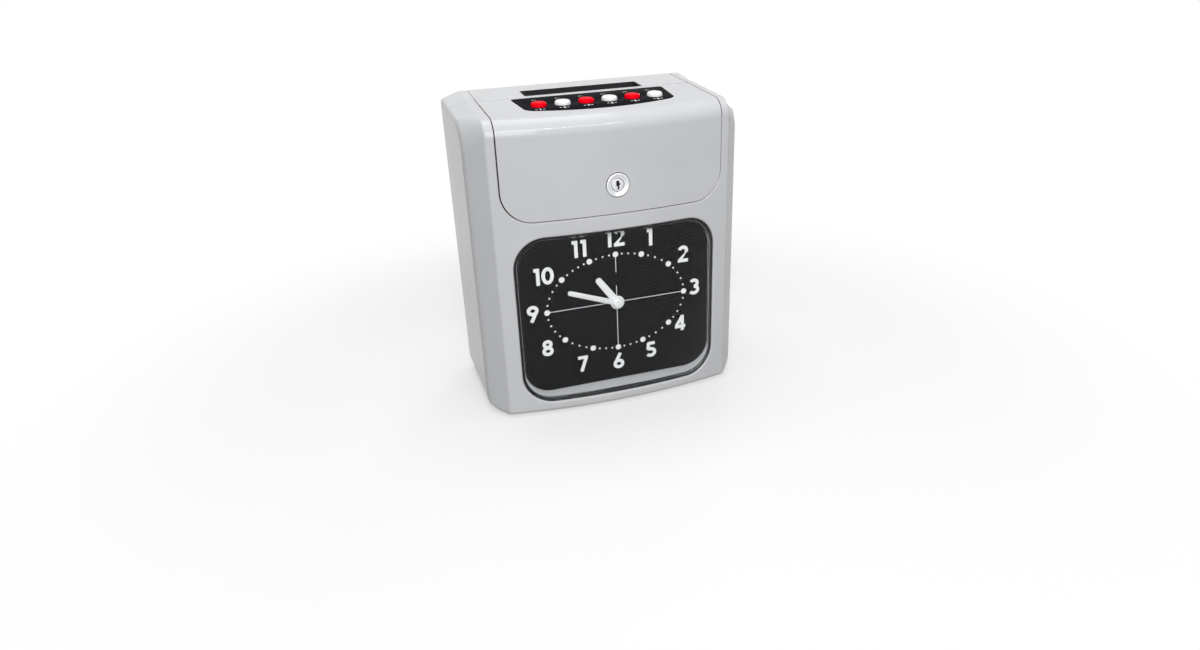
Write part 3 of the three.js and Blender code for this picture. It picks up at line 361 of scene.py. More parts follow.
def slab(outline: Sequence[Point], along: Axis, start: float, end: float) -> Piece:
    """Carries a flat outline along an axis.

    Args:
        outline: The outline's points on the other two axes, in their order.
        along: The axis it is carried along.
        start: Where the slab starts on that axis.
        end: Where it ends.

    Returns:
        The slab.
    """
    body = ring([between(pair, along, start) for pair in outline])
    shift = between((0.0, 0.0), along, (end - start) * MM)
    with editing(body):
        select_mesh()
        bpy.ops.mesh.edge_face_add()
        bpy.ops.mesh.extrude_region_move(TRANSFORM_OT_translate={"value": shift})
        select_mesh()
        bpy.ops.mesh.normals_make_consistent(inside=False)
    return body


def turned(profile: Sequence[Pair], steps: int) -> Piece:
    """Spins a profile of [radius, height] pairs about Z, as on a lathe.

    Args:
        profile: The profile.
        steps: How many steps the spin takes.

    Returns:
        The turned body.
    """
    deselect()
    bpy.ops.mesh.primitive_plane_add(size=MM)
    body = bpy.context.object
    with editing(body):
        select_mesh()
        bpy.ops.mesh.merge(type="CENTER")
        radius, height = profile[0]
        bpy.ops.transform.translate(value=(radius * MM, 0, height * MM))
        for (r0, h0), (r1, h1) in zip(profile, profile[1:]):
            bpy.ops.mesh.extrude_region_move(
                TRANSFORM_OT_translate={"value": ((r1 - r0) * MM, 0, (h1 - h0) * MM)})
        select_mesh()
        bpy.ops.mesh.spin(steps=steps, angle=2 * pi, center=(0, 0, 0), axis=(0, 0, 1))
        select_mesh()
        bpy.ops.mesh.remove_doubles(threshold=TOUCHING)
        bpy.ops.mesh.normals_make_consistent(inside=False)
    return body


def lathe(axis: Axis, profile: Sequence[Pair], centre: Pair, steps: int = 48) -> Piece:
    """Spins a profile of [radius, place along the axis] pairs about an axis.

    Args:
        axis: The axis.
        profile: The profile, closed or with both ends on the axis.
        centre: The axis's place on the other two axes, in their order.
        steps: How many steps the spin takes.

    Returns:
        The turned body.
    """
    turn = {
        Axis.X: Matrix.Rotation(pi / 2, 4, "Y"), Axis.Y: Matrix.Rotation(-pi / 2, 4, "X"),
        Axis.Z: Matrix.Identity(4),
    }[axis]
    return moved(turned(profile, steps), shifted(*between(centre, axis, 0)) @ turn)


def drilled(
    piece: Piece, count: int, centre: Pair, reach: float, axis: Axis, radius: float, start: float, end: float,
    sides: int = 10,
) -> Piece:
    """Drills a piece at even places round a centre.

    Args:
        piece: The piece.
        count: How many holes it gets.
        centre: The middle of their circle, on the two axes across the holes.
        reach: The circle's radius.
        axis: The axis that the holes run along.
        radius: Their radius.
        start: Where they start on that axis.
        end: Where they end.
        sides: How many sides each has.

    Returns:
        The drilled piece.
    """
    for k in range(count):
        angle = 2 * pi * k / count
        place = (centre[0] + reach * cos(angle), centre[1] + reach * sin(angle))
        piece = carve(piece, drum(axis, radius, start, end, place, sides=sides))
    return piece


def refined(node: str, rounding: float) -> Piece:
    """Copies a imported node's mesh, merges its loose triangles and rounds its edges."""
    copy = bpy.data.objects.new(node, frame["nodes"][node].data.copy())
    bpy.context.collection.objects.link(copy)
    with editing(copy):
        select_mesh()
        bpy.ops.mesh.remove_doubles(threshold=LOOSE)
        bpy.ops.mesh.dissolve_limited(angle_limit=radians(FLAT))
    return soften(copy, rounding)


def sweep_curve(start: Pair, control: Pair, end: Pair, steps: int) -> list[Pair]:
    """Returns points along a quadratic curve, without its first one."""
    points = []
    for k in range(1, steps + 1):
        t = k / steps
        points.append(tuple(
            (1 - t) ** 2 * a + 2 * t * (1 - t) * b + t * t * c for a, b, c in zip(start, control, end)))
    return points


def rounded(corners: Sequence[Pair], radii: Sequence[float], steps: Sequence[int]) -> list[Pair]:
    """Rounds the corners of an outline with arcs.

    Args:
        corners: The outline's sharp corners.
        radii: Each corner's radius.
        steps: Each arc's number of steps.

    Returns:
        The outline's points.
    """
    points = []
    for index, (corner, radius, count) in enumerate(zip(corners, radii, steps)):
        at = Vector(corner)
        into = (Vector(corners[index - 1]) - at).normalized()
        out = (Vector(corners[(index + 1) % len(corners)]) - at).normalized()
        half = into.angle(out) / 2
        centre = at + (into + out).normalized() * radius / sin(half)
        start = at + into * radius / tan(half) - centre
        sweep = start.angle_signed(at + out * radius / tan(half) - centre)
        angle = atan2(start.y, start.x)
        for k in range(count + 1):
            turn = angle - sweep * k / count
            points.append((centre.x + radius * cos(turn), centre.y + radius * sin(turn)))
    return points


def rectangle(x: Pair, y: Pair, radius: float, steps: int = 12) -> list[Pair]:
    """Returns the outline of a rectangle with round corners."""
    corners = [(x[0], y[0]), (x[1], y[0]), (x[1], y[1]), (x[0], y[1])]
    return rounded(corners, [radius] * 4, [steps] * 4)


def distance_to_line(point: Pair, start: Pair, end: Pair) -> float:
    """Returns how far a flat point lies from the line between two others."""
    at, first, last = Vector(point), Vector(start), Vector(end)
    along = last - first
    share = min(max((at - first).dot(along) / along.length_squared, 0), 1)
    return (at - first - along * share).length


# Materials


def linear(code: str) -> tuple[float, float, float, float]:
    """Turns an sRGB colour of six hex digits into linear red, green, blue and alpha."""
    shares = [int(code[i:i + 2], 16) / 255 for i in (0, 2, 4)]
    return (*[s / 12.92 if s <= 0.04045 else ((s + 0.055) / 1.055) ** 2.4 for s in shares], 1.0)


def add_node(tree: bpy.types.NodeTree, kind: str, settings: dict | None = None, inputs: dict | None = None):
    """Adds a node with its settings and links.

    Args:
        tree: The material's node tree.
        kind: The node's type, without the words that all of them start with.
        settings: Values of the node's own properties.
        inputs: Input sockets by name or number, each with a value or the socket that it is linked to.

    Returns:
        The node.
    """
    node = tree.nodes.new(f"ShaderNode{kind}")
    for name, value in (settings or {}).items():
        setattr(node, name, value)
    for key, value in (inputs or {}).items():
        if isinstance(value, bpy.types.NodeSocket):
            tree.links.new(value, node.inputs[key])
        else:
            node.inputs[key].default_value = value
    return node


# The numbers of the colour mixer's two colour inputs and of its colour output.
MIX_A, MIX_B, MIX_OUT = 6, 7, 2
# How strongly a noise pattern's finer layers show.
LAYER_SHARE = 0.55
# The roughness of a clear coat.
COAT_ROUGHNESS = 0.06
# The faint tint of light that falls through clear acrylic.
CLEAR_TINT = (0.98, 0.985, 0.985, 1)


def new_material(name: str) -> tuple[bpy.types.Material, bpy.types.NodeTree]:
    """Makes an empty material with nodes."""
    material = bpy.data.materials.new(name)
    material.use_nodes = True
    material.node_tree.nodes.clear()
    return material, material.node_tree


def noise(tree: bpy.types.NodeTree, size: float, detail: float = 3, stretch: Point = (1, 1, 1)):
    """Adds a noise pattern on the object's own coordinates.

    Args:
        tree: The node tree.
        size: The size of one blotch in millimetres.
        detail: How many finer layers it has.
        stretch: How much longer it is along each axis.

    Returns:
        The pattern's value socket.
    """
    place = add_node(tree, "TexCoord")
    scale = [1 / value for value in stretch]
    fitted = add_node(tree, "Mapping", inputs={"Vector": place.outputs["Object"], "Scale": scale})
    return add_node(tree, "TexNoise", inputs={
        "Vector": fitted.outputs[0], "Scale": 1 / (size * MM), "Detail": detail,
        "Roughness": LAYER_SHARE,
    }).outputs["Fac"]


def spread(tree: bpy.types.NodeTree, value, low: float, high: float, sharp: float = 0.2):
    """Maps a noise value's middle range to a range of its own."""
    return add_node(tree, "MapRange", inputs={
        "Value": value, "From Min": 0.5 - sharp, "From Max": 0.5 + sharp, "To Min": low, "To Max": high,
    }).outputs[0]


def shade(tree: bpy.types.NodeTree, factor, first: str, second: str):
    """Mixes two sRGB colours by a factor."""
    return add_node(tree, "Mix", {"data_type": "RGBA"}, {
        0: factor, MIX_A: linear(first), MIX_B: linear(second),
    }).outputs[MIX_OUT]


@dataclass(frozen=True)
class Finish:
    """A surface described by what it is made of and how it was made.

    The base colour drifts between two close tones, the roughness drifts too, and a fine relief catches light.
    """

    name: str
    colour: str
    second: str
    roughness: float
    swing: float = 0.04
    patch: float = 40
    grain: float = 0.6
    relief: float = 0.0
    stretch: tuple[float, float, float] = (1, 1, 1)
    metallic: float = 0.0
    ior: float = 1.5
    coat: float = 0.0
    sheen: float = 0.0

    def surface(self, tree: bpy.types.NodeTree) -> bpy.types.Node:
        """Builds the shader.

        Args:
            tree: The material's node tree.

        Returns:
            The Principled node.
        """
        drift = noise(tree, self.patch, 3, self.stretch)
        fine = noise(tree, self.grain, 2, self.stretch)
        inputs = {
            "Base Color": shade(tree, spread(tree, drift, 0, 1), self.colour, self.second),
            "Roughness": spread(tree, fine, self.roughness - self.swing, self.roughness + self.swing),
            "Metallic": self.metallic,
            "Coat Weight": self.coat,
            "Coat Roughness": COAT_ROUGHNESS,
            "Sheen Weight": self.sheen,
        }
        if not self.metallic:
            inputs["IOR"] = self.ior
        if self.relief:
            inputs["Normal"] = add_node(tree, "Bump", inputs={
                "Height": fine, "Strength": 1.0, "Distance": self.relief * MM}).outputs[0]
        return add_node(tree, "BsdfPrincipled", inputs=inputs)

    def material(self) -> bpy.types.Material:
        """Returns the finish's material, made once."""
        made = bpy.data.materials.get(self.name)
        if made:
            return made
        material, tree = new_material(self.name)
        shader = self.surface(tree)
        add_node(tree, "OutputMaterial", inputs={"Surface": shader.outputs[0]})
        return material


@dataclass(frozen=True)
class ClearFinish(Finish):
    """Clear moulded acrylic, which lets lamps and scattered light through to what lies behind it."""

    def material(self) -> bpy.types.Material:
        """Returns the clear material, made once."""
        made = bpy.data.materials.get(self.name)
        if made:
            return made
        material, tree = new_material(self.name)
        shader = self.surface(tree)
        shader.inputs["Transmission Weight"].default_value = 1.0
        path = add_node(tree, "LightPath")
        open_way = add_node(tree, "BsdfTransparent", inputs={"Color": CLEAR_TINT})
        either = add_node(tree, "Math", {"operation": "MAXIMUM"}, {
            0: path.outputs["Is Shadow Ray"], 1: path.outputs["Is Diffuse Ray"]})
        mixed = add_node(tree, "MixShader", inputs={
            0: either.outputs[0], 1: shader.outputs[0], 2: open_way.outputs[0]})
        add_node(tree, "OutputMaterial", inputs={"Surface": mixed.outputs[0]})
        return material


@dataclass(frozen=True)
class BoardFinish(Finish):
    """Glass-epoxy board under green solder mask, with copper tracks that show as paler lines."""

    track: float = 2.2
    track_width: float = 0.035
    track_colour: str = "4E9A6B"
    row_shift: float = 0.37
    row_squash: float = 1.6

    def surface(self, tree: bpy.types.NodeTree) -> bpy.types.Node:
        """Builds the board's shader, with its tracks."""
        shader = super().surface(tree)
        place = add_node(tree, "TexCoord")
        tracks = add_node(tree, "TexBrick", {"offset": self.row_shift, "squash": self.row_squash}, {
            "Vector": place.outputs["Object"], "Scale": 1 / (4 * self.track * MM),
            "Mortar Size": self.track_width, "Mortar": linear(self.track_colour),
            "Color1": linear(self.colour), "Color2": linear(self.second),
        })
        tree.links.new(tracks.outputs["Color"], shader.inputs["Base Color"])
        return shader


# Gloss ABS: pale silver grey that drifts a little in tone, with a soft sheen and faint moulding ripple.
SHELL = Finish("gloss_abs_silver_grey", "CBCCCE", "C6C7C9", 0.1, 0.02, 60, 2.4, 0.001, ior=1.26)
# Matt ABS of the sloping frame round the dial: the same grey, with hardly any gloss.
SILL = Finish("satin_abs_silver_grey", "B6B7B9", "B0B1B3", 0.42, 0.04, 30, 1.2, 0.006, ior=1.2)
# Polyester overlay with a hard coat: near black, slightly mottled, with sharp highlights.
OVERLAY = Finish("polyester_overlay_black", "18181B", "1C1C20", 0.45, 0.03, 12, 0.5, ior=1.03)
# Dyed ABS key caps: saturated colour with a soft gloss.
KEY_RED = Finish("gloss_abs_red", "F2051B", "E80419", 0.25, 0.03, 5, 0.4, 0.002, ior=1.05)
KEY_WHITE = Finish("gloss_abs_white", "EFEFEF", "E8E8E8", 0.25, 0.03, 5, 0.4, 0.002, ior=1.15)
# Satin nickel on a zinc casting: bright, with fine turning marks.
NICKEL = Finish("satin_nickel", "DADBDD", "D2D3D5", 0.4, 0.05, 6, 0.25, 0.001, metallic=1.0)
# Acrylic moulding: clear and sharp in its gloss.
ACRYLIC = ClearFinish("clear_acrylic", "FDFEFE", "FBFDFD", 0.015, 0.005, 80, 30, 0.0, ior=1.2)
# Screen-printed dial: deep black with a faint satin.
DIAL = Finish("screen_printed_black", "09090B", "0D0D10", 0.5, 0.04, 20, 0.3, ior=1.1)
# White printing ink: flat and slightly uneven.
INK = Finish("white_screen_ink", "FCFCFC", "F6F6F7", 0.5, 0.05, 4, 0.3, 0.002)
# White lacquer on stamped hands: even, with a soft gloss.
LACQUER = Finish("white_lacquer", "F6F6F7", "F1F1F2", 0.35, 0.04, 6, 0.4, 0.002)
# Moulded ABS inside parts: black with a fine spark-eroded texture.
TEXTURED_BLACK = Finish("textured_abs_black", "161618", "1B1B1E", 0.55, 0.05, 10, 0.35, 0.008, ior=1.2)
# Acetal gears and rollers: mid grey, waxy.
ACETAL = Finish("acetal_grey", "5A5D61", "64676B", 0.4, 0.05, 6, 0.4, 0.003)
# Bright steel turned or stamped: streaks along X.
STEEL = Finish("bright_steel", "BCBEC2", "ABADB1", 0.28, 0.08, 6, 0.3, 0.002, (12, 1, 1), 1.0)
# Zinc-plated sheet: cooler, with soft cloudy patches.
ZINC = Finish("zinc_plated_sheet", "B4B7BC", "A3A6AC", 0.36, 0.08, 14, 1.2, 0.003, metallic=1.0)
# Turned brass: warm, with rings of fine marks.
BRASS = Finish("turned_brass", "C9A650", "B8933F", 0.3, 0.06, 4, 0.2, 0.002, metallic=1.0)
# Moulded rubber: matt, dusty and slightly rough.
RUBBER = Finish("moulded_rubber", "1B1B1C", "252526", 0.85, 0.08, 5, 0.4, 0.02, sheen=0.1)
# Solder-masked board: green with paler tracks.
BOARD = BoardFinish("solder_masked_board", "1B5A37", "17512F", 0.35, 0.05, 15, 0.8, 0.01, coat=0.2)
# Varnished copper winding: reddish brown with the turns' fine ridges.
WINDING = Finish("varnished_copper_winding", "8A4A24", "A65E30", 0.35, 0.08, 3, 0.35, 0.05, (1, 1, 9), 0.5)
# Shrink sleeve: blue film with a soft gloss.
SLEEVE = Finish("pvc_shrink_sleeve", "2B4F8C", "244479", 0.32, 0.06, 8, 1.5, 0.02, coat=0.2)

SLOT_FINISHES = {
    "shell": SHELL, "black_panel": OVERLAY, "key_red": KEY_RED, "key_white": KEY_WHITE,
    "lock_metal": NICKEL, "clear_window": ACRYLIC, "dial_black": DIAL, "hand_white": LACQUER,
    "black_plastic": TEXTURED_BLACK, "grey_plastic": ACETAL, "steel": STEEL, "sheet_steel": ZINC,
    "motor_can": ZINC, "brass": BRASS, "rubber": RUBBER, "circuit_board": BOARD,
    "copper_winding": WINDING, "battery_sleeve": SLEEVE,
}


def settle(
    piece: Piece, name: str, body: str, finish: Finish, replaces: Sequence[str] = (),
    smooth: float = 35,
) -> None:
    """Names and dresses a finished piece and puts it on its body.

    Args:
        piece: The finished piece.
        name: Its name.
        body: The body that it rides on.
        finish: What it is made of.
        replaces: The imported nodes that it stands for.
        smooth: Edges flatter than this many degrees are shaded smooth.
    """
    activate(piece)
    bpy.ops.object.shade_smooth_by_angle(angle=radians(smooth))
    piece.name = name
    piece.data.name = name
    piece.data.materials.clear()
    piece.data.materials.append(finish.material())
    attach(piece, body)
    if replaces:
        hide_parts(*replaces)
    log.info("%s: %d faces on %s", name, len(piece.data.polygons), body)


def settle_refined(
    node: str, rounding: float, making: str, body: str, finish: Finish,
) -> None:
    """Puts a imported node's refined copy in its place.

    Args:
        node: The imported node.
        rounding: The width of its rounded edges.
        making: How it was made, which ends its name.
        body: The body that it rides on.
        finish: What it is made of.
    """
    settle(refined(node, rounding), f"{node}_{making}", body, finish, [node])


class Assembly:
    """A group of pieces, each made by a method whose name starts with build_."""

    def build(self) -> None:
        """Makes the pieces, in the order that their methods are written in."""
        for name in vars(type(self)):
            if name.startswith("build_"):
                getattr(self, name)()


# The case


@dataclass
class CaseForm:
    """The case's outer form: a bowed front, bevel bands at the sides, and a sloping top."""

    width: float = 210
    depth: float = 112
    height: float = 237
    slope: float = 0.08
    front_radius: float = 455
    crease_inset: float = 14
    bevel_depth: float = 17
    bevel_drop: float = 5
    bevel_lift: float = 9
    top_radius: float = 13
    side_radius: float = 24
    rear_radius: float = 4
    bottom_radius: float = 3
    foot: float = 2
    crease_blend: float = 0.8
    side_rounding: float = 2.2
    corner_steps: tuple = (4, 4, 4, 14)
    front_steps: int = 12
    blend_steps: int = 4
    band_steps: int = 4
    edge_steps: int = 5

    @property
    def front(self) -> float:
        """The front's foremost line."""
        return -self.depth / 2

    @property
    def rear(self) -> float:
        """The rear wall's face."""
        return self.depth / 2

    @property
    def crease(self) -> float:
        """Where the bowed front meets the bevel band."""
        return self.width / 2 - self.crease_inset

    def bow(self, x: float) -> float:
        """How far the bowed front lies behind its foremost line."""
        return self.front_radius - sqrt(self.front_radius ** 2 - x * x)

    def top(self, y: float) -> float:
        """The sloping top's height."""
        return self.height - self.slope * (self.rear - y)

    def tilt(self) -> Matrix:
        """Carries a piece drawn level, with Y from the front's foremost line, onto the sloping top."""
        return shifted(0, self.front, self.top(self.front)) @ Matrix.Rotation(atan(self.slope), 4, "X")

    def ramp(self, past: float) -> float:
        """Starts softly at the crease and then rises evenly."""
        blend = self.crease_blend
        if past <= -blend:
            return 0.0
        return past if past >= blend else (past + blend) ** 2 / (4 * blend)

    def section(self, x: float, inset: float, trim: float) -> list[tuple]:
        """Returns the outline across the case at one place.

        Args:
            x: The place.
            inset: How far the whole form is drawn in.
            trim: How far this outline alone is drawn in, to round the side's edge.

        Returns:
            The outline's points.
        """
        crease = self.crease - inset / 2
        reach = self.width / 2 - inset - crease
        past = self.ramp(abs(x) - crease)
        share = min(past / reach, 1.0)
        rise = self.bow(self.width / 2) - self.bow(self.crease)
        shrink = inset + trim
        back = past * (self.bevel_depth - rise) / self.crease_inset
        near = self.front + self.bow(x) + back + shrink
        far = self.rear - shrink
        drop = self.bevel_drop * past / self.crease_inset + shrink
        low = self.foot + self.bevel_lift * (1 - sqrt(1 - share * share)) + shrink
        front_top = self.top_radius + share * (self.side_radius - self.top_radius)
        radii = [self.bottom_radius, self.rear_radius, self.rear_radius, front_top]
        outline = rounded(
            [(near, low), (far, low), (far, self.top(far) - drop), (near, self.top(near) - drop)],
            [max(radius - shrink, 0.5) for radius in radii], self.corner_steps)
        return [(x, y, z) for y, z in outline]

    def stations(self, inset: float) -> list[Pair]:
        """Returns the places of the outlines across the right half, with how much each is drawn in."""
        crease = self.crease - inset / 2
        half = self.width / 2 - inset
        edge, blend = self.side_rounding, self.crease_blend
        places = [(crease - blend) * k / self.front_steps for k in range(self.front_steps + 1)]
        places += [crease - blend + blend * k / self.blend_steps for k in range(1, 2 * self.blend_steps + 1)]
        band = crease + blend
        places += [band + (half - edge - band) * k / self.band_steps for k in range(1, self.band_steps)]
        found = [(place, 0.0) for place in places]
        for k in range(self.edge_steps + 1):
            turn = pi / 2 * k / self.edge_steps
            found.append((half - edge + edge * sin(turn), edge * (1 - cos(turn))))
        return found

    def solid(self, inset: float = 0.0) -> Piece:
        """Makes the form, drawn in by an inset."""
        right = self.stations(inset)
        left = [(-x, trim) for x, trim in reversed(right[1:])]
        return loft([self.section(x, inset, trim) for x, trim in left + right])


def flat_normals(piece: Piece) -> Piece:
    """Shades a piece with its broad faces flat up to their rounded edges."""
    activate(piece)
    bpy.ops.object.shade_smooth_by_angle(angle=radians(BROAD_ANGLE))
    return apply_modifier(piece, "WEIGHTED_NORMAL", keep_sharp=True, weight=BROAD_WEIGHT)


@dataclass
class Shells:
    """The pale mouldings: front housing, rear shell, deck and lid, with their bosses and lugs."""

    form: CaseForm
    keys: "KeyPanel"
    wall: float = 2.6
    gap: float = 0.5
    fit: float = 0.3
    lid_half: float = 84
    lid_bottom: float = 157
    lid_corner: float = 22
    hinge: float = 13
    barrel_radius: float = 2
    pin_radius: float = 1.3
    seam: float = 19
    deck_front: float = 15.5
    deck_bottom: float = 225
    slot_half: float = 47
    slot_front: float = 16.2
    slot_rear: float = 34.8
    slot_corner: float = 1.2
    window_half: float = 79.2
    window_bottom: float = 10
    window_top: float = 144.5
    window_corner: float = 24
    window_edge: float = 1.5
    board_posts: tuple = ((-64, 66), (64, 66), (-64, 174), (64, 174))
    post_radius: float = 2.6
    post_length: float = 6.5
    boss_radius: float = 5
    boss_length: float = 22
    bore_radius: float = 1.9
    head_radius: float = 3.7
    counterbore: float = 7
    hanger_x: float = 60
    hanger_z: float = 186
    hanger_head: float = 4.6
    hanger_neck: float = 2.3
    hanger_run: float = 11.3
    vent_count: int = 9
    vent_pitch: float = 9
    vent_width: float = 3
    vent_low: float = 52
    vent_high: float = 86
    inlet: tuple = (61, 32, 11.3, 8.3)
    inlet_depth: float = 14
    lock_seat: float = 9.3
    lock_seat_depth: float = 1.5
    lock_hole: float = 7.3
    lug_thick: float = 6
    lug_half: float = 4.5
    lug_drop: float = 3
    lug_edge: float = 0.4
    pin_bite: float = 9
    pin_bore: float = 8.3
    edge: float = 0.5
    seam_edge: float = 0.9
    deck_edge: float = 0.3
    seam_gap: float = 0.8
    sunk: float = 0.5
    apart: float = 0.05
    rim_near: float = 0.2
    rim_on: float = 0.02
    rim_turn: float = 0.6
    rim_strips: int = 4
    far: float = 300

    @property
    def hinge_z(self) -> float:
        """The height of the hinge's axis."""
        return self.form.top(self.hinge) - self.barrel_radius

    def skin(self) -> Piece:
        """Makes the case's wall as one hollow shell."""
        return carve(self.form.solid(), self.form.solid(self.wall))

    def lid_outline(self, margin: float) -> list[Pair]:
        """Returns the lid's outline from the front, grown by a margin."""
        side = self.lid_half + margin
        low = self.lid_bottom - margin
        radius = self.lid_corner + margin
        corners = [(-side, low), (side, low), (side, self.far), (-side, self.far)]
        return rounded(corners, [radius, radius, 1, 1], [20, 20, 1, 1])

    def lid_space(self, margin: float) -> Piece:
        """Makes the block that the lid is cut from, grown by a margin."""
        return slab(self.lid_outline(margin), Axis.Y, -self.far, self.hinge + margin)

    def window_outline(self, margin: float) -> list[Pair]:
        """Returns the window's outline, grown by a margin."""
        side = self.window_half + margin
        heights = (self.window_bottom - margin, self.window_top + margin)
        return rectangle((-side, side), heights, self.window_corner + margin, 20)

    def deck_space(self, margin: float) -> Piece:
        """Makes the block behind the hinge that the deck is cut from."""
        side = self.lid_half + margin
        return box((-side, self.hinge - margin, self.deck_bottom - margin), (side, self.far, self.far))

    def across(self, start: float, end: float) -> Piece:
        """Makes a block across the whole case between two planes."""
        return box((-self.far, start, -self.far), (self.far, end, self.far))

    def on_rim(self, point: bpy.types.MeshVertex, outline: list[Pair]) -> bool:
        """Says whether a point of the front's outer face lies on an outline."""
        x, y, z = (value / MM for value in point.co)
        if abs(y - self.form.front - self.form.bow(x)) > self.rim_near:
            return False
        pairs = zip(outline, outline[1:] + outline[:1])
        return any(distance_to_line((x, z), a, b) < self.rim_on for a, b in pairs)

    def round_rim(self, piece: Piece, outline: list[Pair], width: float) -> Piece:
        """Rounds the front's outer edge along an outline."""
        with editing(piece):
            rim = {v.index for v in piece.data.vertices if self.on_rim(v, outline)}
            pick(piece, Element.EDGE, lambda edge: edge.verts[0].index in rim and edge.verts[1].index in rim
                 and edge.calc_face_angle(0) > self.rim_turn)
            bpy.ops.mesh.bevel(
                offset=width * MM, segments=self.rim_strips, affect="EDGES", clamp_overlap=False)
        return piece

    def build_front(self, skin: Piece) -> None:
        """Makes the front housing, with its screw bosses and the lugs of the hinge."""
        body = carve(skin, self.across(-self.far, self.seam), Cut.KEEP)
        body = carve(body, self.lid_space(self.seam_gap))
        body = carve(body, self.deck_space(self.seam_gap))
        body = carve(body, slab(self.window_outline(0), Axis.Y, -self.far, self.seam - 5))
        body = self.round_rim(body, self.window_outline(0), self.window_edge)
        body = self.round_rim(body, self.lid_outline(self.seam_gap), self.seam_edge)
        body = heal(soften(body, self.edge))
        start = self.seam - self.boss_length
        end = self.seam - self.apart
        half = self.wall / 2
        for x, z in SCREW_PLACES.values():
            side = copysign(1, x)
            body = carve(body, drum(Axis.Y, self.boss_radius, start, end, (x, z), sides=32), Cut.ADD)
            body = carve(body, box(
                (x + side * (self.boss_radius - self.sunk), start + self.sunk, z - half),
                (side * (self.form.width / 2 - half), end - self.sunk, z + half)), Cut.ADD)
            bore = drum(Axis.Y, self.bore_radius, start + self.wall, self.seam + 1, (x, z), sides=24)
            body = carve(body, bore)
        axis = (self.hinge, self.hinge_z)
        for side in (-1, 1):
            near = side * (self.lid_half + self.gap)
            lug = box(
                (near, self.hinge - self.lug_half, self.hinge_z - self.lug_drop),
                (near + side * self.lug_thick, self.hinge + self.lug_half, self.form.top(self.hinge) - half),
                self.lug_edge)
            body = carve(body, lug, Cut.ADD)
            pin = drum(Axis.X, self.pin_radius, near - side, near + side * self.pin_bite, axis, sides=24)
            body = carve(body, pin)
        settle(flat_normals(heal(body)), "front_housing_shell", "case", SHELL, ["front_housing"])

    def rear_openings(self) -> list[Piece]:
        """Makes the tools for the vents, the hangers, the inlet and the screws' wells."""
        inner = self.form.rear - self.wall - 1
        tools = []
        for k in range(self.vent_count):
            x = (k - (self.vent_count - 1) / 2) * self.vent_pitch
            half = self.vent_width / 2
            vent = rectangle((x - half, x + half), (self.vent_low, self.vent_high), half - 0.01, 8)
            tools.append(slab(vent, Axis.Y, inner, self.far))
        for side in (-1, 1):
            x = side * self.hanger_x
            neck = self.hanger_neck
            tools.append(drum(Axis.Y, self.hanger_head, inner, self.far, (x, self.hanger_z), sides=40))
            heights = (self.hanger_z, self.hanger_z + self.hanger_run + neck)
            run = rectangle((x - neck, x + neck), heights, neck - 0.01, 8)
            tools.append(slab(run, Axis.Y, inner, self.far))
        x, z, half, rise = self.inlet
        start = self.form.rear - self.inlet_depth
        tools.append(box((x - half, start, z - rise), (x + half, self.far, z + rise)))
        start = self.form.rear - self.counterbore
        for place in SCREW_PLACES.values():
            tools.append(drum(Axis.Y, self.head_radius, start, self.far, place, sides=32))
        return tools

    def build_rear(self, skin: Piece) -> None:
        """Makes the rear shell, with its towers, vents and hangers."""
        start = self.seam + self.gap
        inner = self.form.rear - self.wall
        body = carve(skin, self.across(start, self.far), Cut.KEEP)
        body = carve(body, self.deck_space(self.gap))
        end = inner + self.sunk
        for place in SCREW_PLACES.values():
            body = carve(body, drum(Axis.Y, self.boss_radius, start, end, place, sides=32), Cut.ADD)
        for place in self.board_posts:
            post = drum(Axis.Y, self.post_radius, inner - self.post_length, end, place, sides=24)
            body = carve(body, post, Cut.ADD)
        for tool in self.rear_openings():
            body = carve(body, tool)
        body = heal(soften(body, self.edge))
        for place in SCREW_PLACES.values():
            body = carve(body, drum(Axis.Y, self.bore_radius, start - 1, self.far, place, sides=24))
        settle(flat_normals(body), "rear_case_shell", "case", SHELL, ["rear_case"])

    def build_deck(self, skin: Piece) -> None:
        """Makes the deck with its card slot."""
        keep = box((-self.lid_half, self.deck_front, self.deck_bottom), (self.lid_half, self.far, self.far))
        body = carve(skin, keep, Cut.KEEP)
        depths = (self.slot_front, self.slot_rear)
        slot = rectangle((-self.slot_half, self.slot_half), depths, self.slot_corner, 6)
        body = soften(carve(body, slab(slot, Axis.Z, 0, self.far)), self.deck_edge, 3)
        settle(flat_normals(body), "rear_deck_shell", "case", SHELL, ["rear_deck"])

